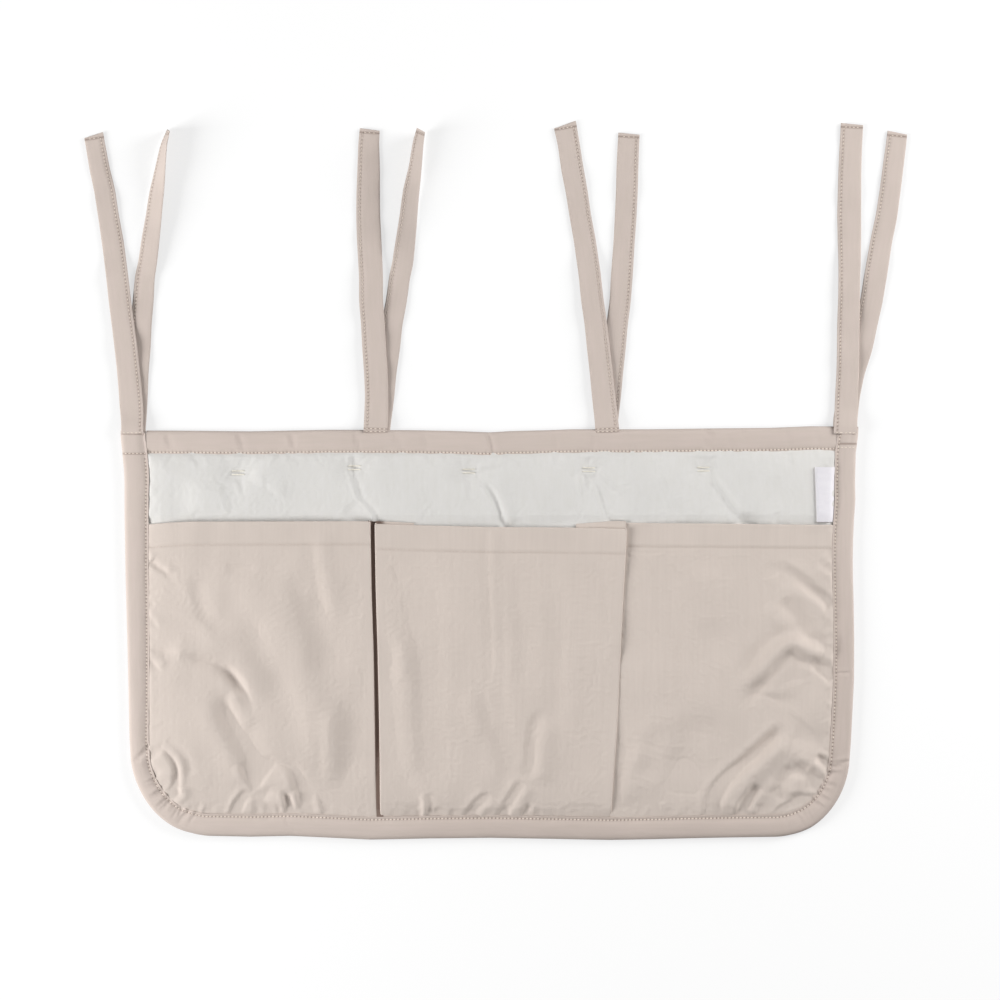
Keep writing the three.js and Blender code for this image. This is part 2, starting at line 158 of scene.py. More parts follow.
# Matt paper: white to the camera, with the object's own soft shadow on it
material, tree = blankMaterial("matt background paper")
rays = addNode(tree, "ShaderNodeLightPath")
direct = rays.outputs["Is Camera Ray"]
glow = addNode(tree, "ShaderNodeMath", {0: direct, 1: surroundings["floorGlow"]}, operation="MULTIPLY")
paper = addNode(tree, "ShaderNodeBsdfDiffuse", {"Color": toLinear(surroundings["floorColour"])})
shine = addNode(tree, "ShaderNodeEmission", {"Color": (1, 1, 1, 1), "Strength": glow.outputs[0]})
both = addNode(tree, "ShaderNodeAddShader", {0: paper.outputs[0], 1: shine.outputs[0]})
addNode(tree, "ShaderNodeOutputMaterial", {"Surface": both.outputs[0]})
floor.data.materials.append(material)
floor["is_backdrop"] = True
print("camera, lamps and floor ready")

# Materials

shadeBrown = "#5A3A28"  # painted shade: the deep brown of the shade in a needle hole or down a seam
waveBand = 0.05 * 2 * math.pi  # a wave texture repeats each 2 pi / 20
clothLook = {
    "slubDetail": 3,
    "slubRoughness": 0.62,
    "slubRange": (0.32, 0.68),
    "cloudScale": (22, 16, 1),  # soft patches about 50 mm wide, a little lighter and darker
    "cloudDetail": 2,
    "cloudRange": (0.3, 0.7),
    "cloudTone": (0.972, 1.02),
    "weaveStrength": 0.6,
    "slubStrength": 0.7,
    "specular": 0.18,
    "sheenRoughness": 0.5,
}


def wovenCloth(name, colour, slubColour, thread, weaveDepth, slubDepth, sheen, roughness, streak):
    # UV is the cloth's flat cut in metres, so the weave follows each fold of it.
    material, tree = blankMaterial(name)
    uv = addNode(tree, "ShaderNodeUVMap")
    # Warp and weft: two sets of ridges a thread apart
    fine = {"Vector": uv.outputs[0], "Scale": waveBand / (thread * mm)}
    warp = addNode(tree, "ShaderNodeTexWave", fine, bands_direction="X")
    weft = addNode(tree, "ShaderNodeTexWave", fine, bands_direction="Y")
    weave = addNode(
        tree, "ShaderNodeMath", {0: warp.outputs["Fac"], 1: weft.outputs["Fac"]}, operation="MULTIPLY"
    )
    # Slubs: thicker threads that run along the cloth, seen as faint streaks
    along = addNode(tree, "ShaderNodeMapping", {"Vector": uv.outputs[0], "Scale": streak})
    slub = addNode(
        tree,
        "ShaderNodeTexNoise",
        {
            "Vector": along.outputs[0],
            "Scale": 1,
            "Detail": clothLook["slubDetail"],
            "Roughness": clothLook["slubRoughness"],
        },
    )
    cloudPlace = addNode(
        tree, "ShaderNodeMapping", {"Vector": uv.outputs[0], "Scale": clothLook["cloudScale"]}
    )
    cloudInputs = {"Vector": cloudPlace.outputs[0], "Scale": 1, "Detail": clothLook["cloudDetail"]}
    cloud = addNode(tree, "ShaderNodeTexNoise", cloudInputs)
    slubFrom, slubTo = clothLook["slubRange"]
    slubInputs = {"Value": slub.outputs["Fac"], "From Min": slubFrom, "From Max": slubTo}
    patch = addNode(tree, "ShaderNodeMapRange", slubInputs)
    # Inputs 6 and 7 of a mix node are its two colours
    colours = {"Factor": patch.outputs[0], 6: toLinear(colour), 7: toLinear(slubColour)}
    tint = addNode(tree, "ShaderNodeMix", colours, data_type="RGBA")
    tone = addNode(
        tree,
        "ShaderNodeMapRange",
        {
            "Value": cloud.outputs["Fac"],
            "From Min": clothLook["cloudRange"][0],
            "From Max": clothLook["cloudRange"][1],
            "To Min": clothLook["cloudTone"][0],
            "To Max": clothLook["cloudTone"][1],
        },
    )
    toned = addNode(
        tree, "ShaderNodeVectorMath", {0: tint.outputs[2], "Scale": tone.outputs[0]}, operation="SCALE"
    )
    # Painted shade: the cloth's own attribute mixes in the deep brown of shade in needle holes, seam
    # grooves and the divider slot, and a little on the bottom and right tapes
    paintedShade = addNode(tree, "ShaderNodeAttribute", attribute_name="paintedShade")
    paintedShadeMarks = {"Factor": paintedShade.outputs["Fac"], 6: toned.outputs[0], 7: toLinear(shadeBrown)}
    final = addNode(tree, "ShaderNodeMix", paintedShadeMarks, data_type="RGBA")
    ridges = addNode(
        tree,
        "ShaderNodeBump",
        {"Height": weave.outputs[0], "Distance": weaveDepth * mm, "Strength": clothLook["weaveStrength"]},
    )
    bumps = addNode(
        tree,
        "ShaderNodeBump",
        {
            "Height": slub.outputs["Fac"],
            "Distance": slubDepth * mm,
            "Strength": clothLook["slubStrength"],
            "Normal": ridges.outputs[0],
        },
    )
    shader = addNode(
        tree,
        "ShaderNodeBsdfPrincipled",
        {
            "Base Color": final.outputs[2],
            "Roughness": roughness,
            "Specular IOR Level": clothLook["specular"],
            "Sheen Weight": sheen,
            "Sheen Roughness": clothLook["sheenRoughness"],
            "Normal": bumps.outputs[0],
        },
    )
    addNode(tree, "ShaderNodeOutputMaterial", {"Surface": shader.outputs[0]})
    return material


def spunThread(name, colour, twist):
    # Plied thread: a slanting ridge round it and a soft sheen
    material, tree = blankMaterial(name)
    place = addNode(tree, "ShaderNodeTexCoord")
    plyScale = 0.314 / (twist * mm)  # one ridge to a twist, as a wave texture repeats each 0.314
    slant = {"Vector": place.outputs["Object"], "Scale": plyScale, "Distortion": 2.0, "Detail": 1}
    ply = addNode(tree, "ShaderNodeTexWave", slant, bands_direction="DIAGONAL")
    bump = addNode(
        tree, "ShaderNodeBump", {"Height": ply.outputs["Fac"], "Distance": 0.05 * mm, "Strength": 0.7}
    )
    shader = addNode(
        tree,
        "ShaderNodeBsdfPrincipled",
        {
            "Base Color": toLinear(colour),
            "Roughness": 0.7,
            "Specular IOR Level": 0.25,
            "Sheen Weight": 0.1,
            "Normal": bump.outputs[0],
        },
    )
    addNode(tree, "ShaderNodeOutputMaterial", {"Surface": shader.outputs[0]})
    return material


def looseFibre(name, colour):
    # Carded polyester wadding: a white felt of fine crossing fibres
    material, tree = blankMaterial(name)
    place = addNode(tree, "ShaderNodeTexCoord")
    fibres = addNode(
        tree,
        "ShaderNodeTexNoise",
        {"Vector": place.outputs["Object"], "Scale": 900, "Detail": 4, "Distortion": 1.5},
    )
    bump = addNode(
        tree, "ShaderNodeBump", {"Height": fibres.outputs["Fac"], "Distance": 0.6 * mm, "Strength": 0.8}
    )
    shader = addNode(
        tree,
        "ShaderNodeBsdfPrincipled",
        {
            "Base Color": toLinear(colour),
            "Roughness": 1,
            "Specular IOR Level": 0.1,
            "Sheen Weight": 0.3,
            "Normal": bump.outputs[0],
        },
    )
    addNode(tree, "ShaderNodeOutputMaterial", {"Surface": shader.outputs[0]})
    return material


# Washed plain-weave cotton: matt, with a faint nap and fine streaks along the warp
pocketCotton = wovenCloth(
    "washed plain-weave cotton", "#D4C8BF", "#D1C5BC", 0.55, 0.05, 0.10, 0.12, 0.9, (420, 16, 1)
)
# The same cotton cut into tape and pressed, so its streaks run along the tape
tapeCotton = wovenCloth(
    "pressed cotton tape", "#D0C2BA", "#CCBFB6", 0.55, 0.05, 0.10, 0.12, 0.9, (300, 26, 1)
)
# Cotton percale: a fine, even weave that looks smooth and nearly white
liningCotton = wovenCloth(
    "cotton percale lining", "#DEDCD9", "#DBD9D5", 0.4, 0.03, 0.06, 0.08, 0.85, (260, 60, 1)
)
# Woven damask label tape: smooth, flat and a little cool in colour
labelTape = wovenCloth(
    "woven label tape", "#E9E6EA", "#E4E1E6", 0.35, 0.03, 0.02, 0.05, 0.6, (200, 200, 1)
)
creamThread = spunThread("cream polyester sewing thread", "#E8DCCF", 0.3)
beigeThread = spunThread("beige polyester sewing thread", "#CDBFB5", 0.3)
ivoryThread = spunThread("ivory quilting thread", "#EEE9DC", 0.3)
waddingFibre = looseFibre("polyester wadding", "#F1F0EC")
print("materials ready")

# Plan and height of the panel

panel = {
    "topWidth": 600,
    "waistWidth": 594,
    "bottomWidth": 585,
    "height": 332,
    "flareHeight": 50,
    "cornerRadius": 65,
    "bottomSag": 3,
    # Small waves of the washed edges: (place along the edge, shift)
    "topWave": [
        (-276, -0.1), (-244, -0.3), (-195, -0.8), (-146, 0.2), (-130, 0.5), (-65, 0.2), (-32, -0.4),
        (0.5, -1.6), (17, -0.6), (49, 0.2), (66, 0.9), (131, 0.9), (180, 1.6), (229, 2.1), (261, 3.4),
        (300, 3.0),
    ],
    "bottomWave": [
        (-277, 2.2), (-260, 2.2), (-244, 3.6), (-228, 3.1), (-195, 2.4), (-163, 3.3), (-130, 2.1),
        (-97, 0.8), (-49, 2.0), (0, 2.6), (49, 1.7), (98, 0.5), (131, 0.8), (163, 1.3), (196, 1.7),
        (229, 2.0), (245, 1.1), (261, -0.8), (277, -1.4),
    ],
    "leftWave": [
        (-137, 2.6), (-127, 2.2), (-119, 1.4), (-103, -0.2), (-86, -1.0), (-54, -0.9), (-5, -1.0),
        (44, -1.4), (80, -1.2), (96, -1.2), (112, -0.9), (134, -0.4), (150, -0.5), (161, -1.0),
    ],
    "rightWave": [
        (-156, 3.5), (-147, 2.1), (-137, 1.4), (-127, 1.2), (-119, 1.2), (-103, 1.6), (-86, 2.6),
        (-70, 2.9), (-37, 3.6), (-5, 3.1), (28, 1.9), (44, 1.1), (60, 0.6), (77, 0.5), (93, 0.9),
        (109, 1.7), (134, 0.7), (145, 0), (161, 1.0),
    ],
}
tape = {
    # (y, width)
    "leftWidth": [
        (-86, 16.0), (-54, 17.1), (-13, 18.2), (28, 19.0), (77, 19.7), (109, 20.0), (134, 20.6)
    ],
    "rightWidth": 17.2,
    "bottomWidth": 18.4,
    "topWidth": 19.6,
    "stitchFromLip": 2.3,
    "topStitchFromLip": 1.9,
    "station": 0.75,
    "stitchedFrom": 143,  # above this the left tape's stitches are under the corner tie
    "crossLines": [(-1, 147.0), (-1, 163.4), (1, 152.2), (1, 165.2)],
}
layers = {
    "backThickness": 0.6,
    "liningEdgeTop": 3.4,
    "lipRise": 0.9,  # under the lip of the tapes the layers thicken at once
    "openRise": 0.75,
    "flank": 0.5,
    "liningThickness": 0.6,
    "crown": 2.6,
    "crownRun": 34,
    "tackDip": 2.6,
    "tackDipRadius": 15,
    "pocketStep": 0.8,
}
tacks = {
    "places": [(-204.7, 131.4), (-110.1, 135.5), (-16.9, 132.8), (81.0, 134.0), (174.4, 134.4)],
    "barLength": 9,
    "barGap": 3,
    "groove": 0.8,
    "gatherTurn": 0.52,  # between the fine gathers round a tack, in radians
    "gatherFrom": 5.2,
    "gatherTo": (9, 19),
    "back": 0.45,  # height of the bars behind
}

topY = panel["height"] / 2
bottomY = -topY
cornerY = bottomY + panel["cornerRadius"]
bottomHalf = panel["bottomWidth"] / 2
flatHalf = bottomHalf - panel["cornerRadius"]


# Value of a table of (place, value) at a place
def between(table, place):
    return np.interp(place, *np.array(table, float).T)


def smooth(t):
    t = np.clip(t, 0, 1)
    return t * t * (3 - 2 * t)


def quickRise(t):
    # From 0 to 1, steep at first, as stuffed cloth leaves a seam
    return 1 - (1 - np.clip(t, 0, 1)) ** 2


def halfWidth(y):
    waistY = topY - panel["flareHeight"]
    share = np.clip((y - cornerY) / (waistY - cornerY), 0, 1)
    side = bottomHalf + (panel["waistWidth"] / 2 - bottomHalf) * share
    flare = (panel["topWidth"] - panel["waistWidth"]) / 2
    return side + flare * smooth((y - waistY) / panel["flareHeight"])


def leftTapeWidth(y):
    return between(tape["leftWidth"], y)


# How far a point lies inside the lips of the bindings
def insideTapes(x, y):
    past = np.maximum(np.abs(x) - flatHalf, 0)
    below = np.maximum(cornerY - y, 0)
    straight = np.minimum(halfWidth(np.maximum(y, cornerY)) - np.abs(x), y - bottomY)
    fromEdge = np.where((past > 0) & (below > 0), panel["cornerRadius"] - np.hypot(past, below), straight)
    low = (below + 0.5) / (below + past + 1)
    side = np.where(x < 0, leftTapeWidth(y), tape["rightWidth"])
    return np.minimum(fromEdge - (side + (tape["bottomWidth"] - side) * low), topY - tape["topWidth"] - y)


# From the straight plan to the washed one: the bottom sags and the edges wave a little
def settled(x, y):
    across = np.clip(1 - (x / bottomHalf) ** 2, 0, None)
    down = np.clip((topY - y) / panel["height"], 0, 1)
    past = np.clip(np.abs(x) - 150, 0, None)
    below = np.clip(-y - 30, 0, None)
    total = past**2 + below**2 + 1e-6
    sideShare = past**2 / total * smooth(past / 100)
    bottomShare = below**2 / total * smooth(below / 100)
    shiftX = np.where(x < 0, between(panel["leftWave"], y), between(panel["rightWave"], y)) * sideShare
    atTop = smooth((y - 100) / 66)
    shiftY = between(panel["bottomWave"], x) * bottomShare + between(panel["topWave"], x) * atTop
    return x + shiftX, y - panel["bottomSag"] * across * down**2 + shiftY


# A soft uneven wave field, the same each run
def unevenness(x, y, size, seed):
    random = np.random.default_rng(seed)
    total = np.zeros_like(x, float)
    for _ in range(12):
        turn, phase = random.uniform(0, 2 * math.pi, 2)
        step = 2 * math.pi / (size * random.uniform(0.7, 1.7))
        total += np.cos((x * math.cos(turn) + y * math.sin(turn)) * step + phase)
    return total / math.sqrt(6 * 4)


# A line through the given points without corners
def rounded(points, perSpan=6):
    p = np.array(points, float)
    if len(p) < 3:
        return p
    padded = np.vstack([2 * p[0] - p[1], p, 2 * p[-1] - p[-2]])
    t = np.linspace(0, 1, perSpan, endpoint=False)[:, None]
    spans = []
    for a, b, c, d in zip(padded, padded[1:], padded[2:], padded[3:]):
        square, cube = 2 * a - 5 * b + 4 * c - d, 3 * b - a - 3 * c + d
        spans.append(0.5 * (2 * b + (c - a) * t + square * t**2 + cube * t**3))
    return np.vstack(spans + [p[-1:]])


foldShape = {
    "crease": 0.4,  # share of a sharp crest or valley along the path
    "bank": 1.1,  # share of a slope along the path that faces the light, or away from it
    "crestRadius": 0.3,  # of the fold's width
    "fall": 1.6,
    "gain": [(2.5, 0.95), (5, 1.4), (8, 2.2), (12, 3.0)],  # (width, how much the height counts)
    "blend": 0.3,  # of the fold's width, so that bends of its path stay smooth
    "light": [(-250, 166), (0, 140), (250, 103)],  # (x, direction of the light in degrees)
}


# Height of a set of folds: (height, width, skew, fade in, fade out, path). A minus height is a valley
# with a bank that faces away from the light, so it is seen dark. Skew widens the left side, seen along
# the path, and fades are shares of its length.
def foldRelief(x, y, folds):
    height = np.zeros_like(x, float)
    for amount, width, skew, fadeIn, fadeOut, points in folds:
        amount = amount * between(foldShape["gain"], width)
        path = rounded(points)
        left, right = 1.25 * width * (1 + skew), 1.25 * width * (1 - skew)
        margin = 3.4 * max(left, right)
        low, high = path.min(0) - margin, path.max(0) + margin
        near = (x > low[0]) & (x < high[0]) & (y > low[1]) & (y < high[1])
        if not near.any():
            continue
        px, py = x[near][:, None], y[near][:, None]
        start, run = path[:-1], np.diff(path, axis=0)
        length = np.hypot(*run.T)
        t = np.clip(((px - start[:, 0]) * run[:, 0] + (py - start[:, 1]) * run[:, 1]) / length**2, 0, 1)
        dx, dy = px - start[:, 0] - t * run[:, 0], py - start[:, 1] - t * run[:, 1]
        apart = dx**2 + dy**2
        side = run[:, 0] * dy - run[:, 1] * dx
        # Each span counts by how near it is, so the two sides of a bend meet without a step
        farther = apart - apart.min(1, keepdims=True)
        weight = np.exp(-farther / (foldShape["blend"] * max(left, right)) ** 2)
        weight /= weight.sum(1, keepdims=True)
        before = np.concatenate([[0], np.cumsum(length)[:-1]])
        along = (weight * (before + t * length)).sum(1) / length.sum()
        fade = smooth(along / max(fadeIn, 1e-3)) * smooth((1 - along) / max(fadeOut, 1e-3))
        offset = side / length
        reach = (left + right) / 2 + (left - right) / 2 * np.tanh(offset / (0.3 * (left + right)))
        q = np.sqrt(apart) / reach
        radius = foldShape["crestRadius"]
        fall = np.exp(-foldShape["fall"] * (np.sqrt(q * q + radius * radius) - radius))
        crease = fall * (1 - smooth(q / 1.2 - 1.6))
        bearing = math.radians(between(foldShape["light"], path[:, 0].mean()))
        facing = (math.sin(bearing) * run[:, 0] - math.cos(bearing) * run[:, 1]) / length
        bank = offset / reach * np.exp(-q * q) * np.tanh(2.5 * facing)
        shape = foldShape["crease"] * crease - foldShape["bank"] * bank
        height[near] += amount * fade * (weight * shape).sum(1)
    return height


# Small puckers that a seam draws into the cloth beside it: path of the seam and directions into the cloth
def seamPuckers(path, inwards, spacing, reach, height, seed):
    random = np.random.default_rng(seed)
    steps = np.hypot(*np.diff(path, axis=0).T)
    along = np.concatenate([[0], np.cumsum(steps)])
    folds = []
    place = random.uniform(0.2, 0.8) * spacing
    while place < along[-1]:
        foot = np.array([np.interp(place, along, path[:, k]) for k in (0, 1)])
        into = np.array([np.interp(place, along, inwards[:, k]) for k in (0, 1)])
        lean = random.uniform(-0.55, 0.55)
        run = random.uniform(0.6, 1.5) * reach
        tip = foot + run * np.array([into[0] - lean * into[1], into[1] + lean * into[0]])
        root = foot - 1.5 * into
        amount = height * random.uniform(0.45, 1.3) * random.choice([-1, -1, 1])
        width, skew = random.uniform(1.7, 3.4), random.uniform(-0.3, 0.3)
        folds.append((amount, width, skew, 0, 0.8, [tuple(root), tuple(tip)]))
        place += spacing * random.uniform(0.5, 1.6)
    return folds


# The folds' paths were read off the photograph and stay in its pixels, x to the right and y down
photo = {
    "pixel": 0.815,  # size in millimetres
    "middle": (489.5, 634),  # of the flat panel, which is the origin
    "digits": 1,
}


def placed(px, py):
    middleX, middleY = photo["middle"]
    pixel, digits = photo["pixel"], photo["digits"]
    return round((px - middleX) * pixel, digits), round((middleY - py) * pixel, digits)


def fromPhoto(folds):
    return [(*values, [placed(*spot) for spot in path]) for *values, path in folds]


# (height, width, skew, fade in, fade out, path)
liningFolds = fromPhoto([
    (-1.5, 2.6, 0.1, 0.1, 0,
     [(352, 451), (351, 465), (351, 471.6), (355.3, 485.7), (359, 495.5), (367.2, 505.2),
      (373.7, 513.9), (376, 524)]),
    (-0.8, 3, 0, 0.05, 0.6, [(360.7, 470.5), (380, 471), (405, 471.8)]),
    (-0.6, 2.2, 0, 0.2, 0.4, [(363, 466), (372, 458), (378, 453)]),
    (-1.6, 2.8, 0, 0.1, 0,
     [(473.3, 473.8), (479.8, 480.3), (487.3, 489), (492.8, 498.7), (497.1, 509.6), (501.4, 520.4),
      (503.6, 530)]),
    (1.6, 4.5, 0, 0.2, 0.1, [(482, 474), (490, 482), (497, 492), (502, 503), (506, 515), (509, 526)]),
    (-0.7, 2.6, 0, 0.1, 0.5, [(476, 470), (490, 468.5), (505, 467.5)]),
    (0.7, 3, 0, 0.1, 0.5, [(476, 466), (488, 463.5), (500, 463)]),
    (-0.9, 2.4, 0, 0.1, 0.4, [(583.8, 466.2), (587, 461), (590.3, 454)]),
    (-1.2, 3, 0, 0.1, 0.4, [(583.3, 473.8), (583.8, 485.7), (586.5, 495.5)]),
    (1, 3.2, 0, 0.1, 0.3, [(578, 474), (578.5, 486), (581, 497)]),
    (-1.7, 2.6, 0, 0.1, 0,
     [(590, 476), (595.8, 485.7), (600, 499.8), (604.4, 510.6), (608.8, 519.3), (610, 528)]),
    (-1.4, 3.2, 0, 0.1, 0.3, [(594.7, 472.7), (602.3, 479.2), (609.9, 489), (613, 497)]),
    (1, 4, 0, 0.1, 0.3, [(598, 470), (608, 477), (616, 487), (619, 496)]),
    (-1.6, 2.6, 0, 0.1, 0, [(708.8, 477), (718.6, 489.5), (727, 502.2), (736.8, 514.8), (743.8, 528)]),
    (1.1, 4.2, 0, 0.2, 0.2, [(715, 476), (726, 490), (735, 502), (745, 513)]),
    (-0.9, 2.6, 0, 0.1, 0.5, [(708.8, 465.7), (713, 453)]),
    (-2.6, 6, 0, 0.4, 0, [(742.5, 512), (742.5, 519), (742.5, 530)]),
    (1.9, 6, 0.2, 0.15, 0.35, [(250, 474), (268, 484), (280, 492), (291.8, 499)]),
    (-0.6, 6, 0, 0.2, 0.3, [(262, 478), (278, 479), (292, 484)]),
    (0.6, 12, 0, 0.3, 0.2, [(196, 478), (193, 496), (194, 514)]),
    (-0.45, 7, 0, 0.3, 0.2, [(223, 480), (228, 497), (232, 515)]),
    (-0.8, 2.6, 0, 0.1, 0.4, [(236, 478), (240, 486), (243, 496)]),
    (-0.8, 2.4, 0, 0, 0.6, [(148, 476.6), (156, 477)]),
    (-0.8, 2.4, 0, 0, 0.6, [(148, 498), (157, 497)]),
    (0.8, 3, 0, 0, 0.5, [(148, 487), (160, 488)]),
    (-1.2, 7, 0, 0.3, 0.1, [(344, 508), (350, 516), (356, 526)]),
    (-0.7, 3, 0, 0.2, 0.4, [(466, 478), (468, 490), (470, 500)]),
    (-0.9, 5, 0, 0.3, 0.1, [(775, 512), (776, 519), (777, 528)]),
    (0.7, 6, 0, 0.3, 0.3, [(660, 470), (668, 490), (672, 512)]),
    (-0.6, 3, 0, 0.1, 0.5, [(553, 455), (556, 462), (561, 470)]),
    (-0.6, 3, 0, 0.1, 0.5, [(655, 455), (662, 460), (667, 468)]),
    (-0.6, 3, 0, 0.1, 0.5, [(786, 451), (789, 458), (795, 466)]),
    (-0.5, 2.6, 0, 0.1, 0.5, [(190, 455), (196, 462), (199, 470)]),
    (-0.5, 2.6, 0, 0.1, 0.5, [(290, 455), (296, 460), (304, 464)]),
    (-0.5, 2.6, 0, 0.1, 0.5, [(425, 455), (431, 461), (436, 468)]),
])
topTapeFolds = fromPhoto([
    (-0.65, 1.8, 0.1, 0, 0, [(482, 428), (487.9, 438), (489.5, 444.5), (492.5, 457)]),
    (0.35, 2.6, 0, 0, 0.1, [(488, 428), (493, 438), (495.5, 447), (498, 457)]),
    (-0.5, 1.7, 0.1, 0, 0, [(619.5, 426), (627.2, 440.2), (631.4, 453)]),
    (0.25, 2.4, 0, 0, 0.1, [(624, 426), (632, 440), (636, 453)]),
    (-0.9, 2.2, 0, 0.2, 0.2, [(701.7, 436.2), (707, 441.5), (713, 447.4)]),
    (-0.9, 2, 0, 0.1, 0.3, [(704, 427), (709, 432), (716.8, 437.2)]),
    (-0.8, 2.4, 0, 0.2, 0.2, [(351, 437), (360.7, 448.7)]),
    (-0.8, 2.4, 0, 0.2, 0.2, [(391.2, 435), (404, 447)]),
    (-0.6, 2.6, 0, 0.2, 0.2, [(163, 436), (171, 447)]),
    (-0.6, 2.6, 0, 0.2, 0.2, [(235, 434), (243, 449)]),
    (-0.6, 2.6, 0, 0.2, 0.2, [(288, 434), (294, 449)]),
    (-0.5, 2.4, 0, 0.2, 0.2, [(552, 434), (558, 448)]),
    (-0.5, 2.4, 0, 0.2, 0.2, [(590, 434), (594, 450)]),
    (-0.6, 2.4, 0, 0.2, 0.2, [(727, 437), (735, 446)]),
    (-0.5, 2.4, 0, 0.2, 0.2, [(742, 430), (748, 436)]),
    (-0.5, 2.4, 0, 0.2, 0.2, [(785, 430), (793, 442)]),
    (-0.5, 2.4, 0, 0.2, 0.2, [(815, 430), (822, 443)]),
    (-0.5, 2.4, 0, 0.2, 0.2, [(420, 434), (428, 447)]),
])
leftPocketFolds = fromPhoto([
    (1.5, 3.2, 0, 0, 0.4, [(148, 558), (158, 564), (169, 567.5), (181, 568)]),
    (-1.9, 3.4, 0, 0.05, 0.4, [(150, 562), (158, 568.5), (167, 572.5), (178, 572)]),
    (1, 3, 0, 0, 0.5, [(148, 614), (156, 621), (162, 629)]),
    (-0.6, 3, 0, 0, 0.5, [(148, 606), (154, 610)]),
    (-2.2, 5, -0.25, 0, 0.3,
     [(148, 649), (170, 652), (195, 658), (213, 664), (228, 673), (240, 688), (247, 703), (252, 718)]),
    (1.6, 4, 0, 0, 0.4, [(149, 656), (157, 663), (165, 671)]),
    (1.8, 10, 0.3, 0.15, 0.3, [(165, 645), (195, 648), (218, 658), (236, 670), (247, 688), (255, 706)]),
    (-1.4, 11, 0, 0.3, 0.2, [(212, 690), (222, 715), (236, 742), (250, 765), (258, 788)]),
    (1.2, 6, 0, 0.2, 0.3, [(228, 692), (236, 712), (248, 735)]),
    (-1.5, 4.5, 0, 0.2, 0.2, [(240, 762), (246, 774), (256, 790)]),
    (-1.9, 5, 0, 0.15, 0, [(262, 757), (280, 763), (291, 771), (296, 784), (299, 797), (300, 808)]),
    (1.1, 9, 0, 0.2, 0.2, [(262, 782), (272, 790), (268, 804)]),
    (0.9, 13, 0, 0.25, 0.25,
     [(212, 575), (240, 592), (262, 620), (276, 650), (293, 682), (304, 712), (312, 750), (318, 785)]),
    (-0.9, 12, 0, 0.25, 0.3, [(285, 565), (300, 600), (315, 645), (322, 690)]),
    (0.8, 7, 0, 0.3, 0.3, [(316, 525), (320, 560), (326, 595), (338, 625)]),
    (-0.6, 6, 0, 0.3, 0.3, [(190, 575), (197, 600), (206, 625)]),
    (-0.7, 7, 0, 0.3, 0.3, [(170, 600), (200, 615), (225, 640)]),
    (0.6, 7, 0, 0.3, 0.3, [(325, 700), (326, 745), (325, 790)]),
    (-0.6, 9, 0, 0.3, 0.3, [(342, 690), (344, 740), (343, 795)]),
    (-0.7, 4, 0, 0.3, 0.3, [(225, 566), (243, 567), (258, 572)]),
    (-1.3, 3.4, 0, 0, 0.1,
     [(152, 748), (163, 750), (171, 759), (175, 770), (174, 783), (170, 793), (166, 797)]),
    (1.2, 3, 0, 0.1, 0.1, [(160, 745), (170, 752), (178, 764), (180, 778), (178, 794)]),
    (-0.9, 3.4, 0, 0.1, 0.2, [(165, 742), (177, 750), (186, 763), (187, 778)]),
    (0.9, 7, 0, 0.1, 0.3, [(152, 760), (160, 770), (162, 782)]),
    (1.4, 4.5, 0, 0.1, 0.1, [(182, 786), (180, 796), (172, 803)]),
    (-2.4, 3.2, 0, 0.3, 0, [(247, 788), (240, 797), (234, 806), (231, 818)]),
    (1.2, 3.6, 0, 0.3, 0.1, [(252, 793), (246, 803), (242, 814)]),
    (-2.3, 3, 0, 0.3, 0, [(282, 790), (286, 802), (287, 818)]),
    (1.6, 3.6, 0, 0.2, 0.1, [(291, 791), (295, 802), (301, 814)]),
    (-1.9, 3, 0, 0.3, 0, [(318, 790), (322, 804), (325, 817)]),
    (0.9, 3, 0, 0.3, 0.1, [(310, 800), (314, 810), (318, 817)]),
    (-0.8, 2.4, 0, 0.3, 0, [(349, 808), (350, 818)]),
    (-0.7, 2.4, 0, 0.3, 0, [(256, 806), (255, 818)]),
    (-0.7, 2.4, 0, 0.3, 0, [(268, 808), (266, 818)]),
    (-0.6, 2.4, 0, 0.3, 0, [(206, 806), (203, 818)]),
])
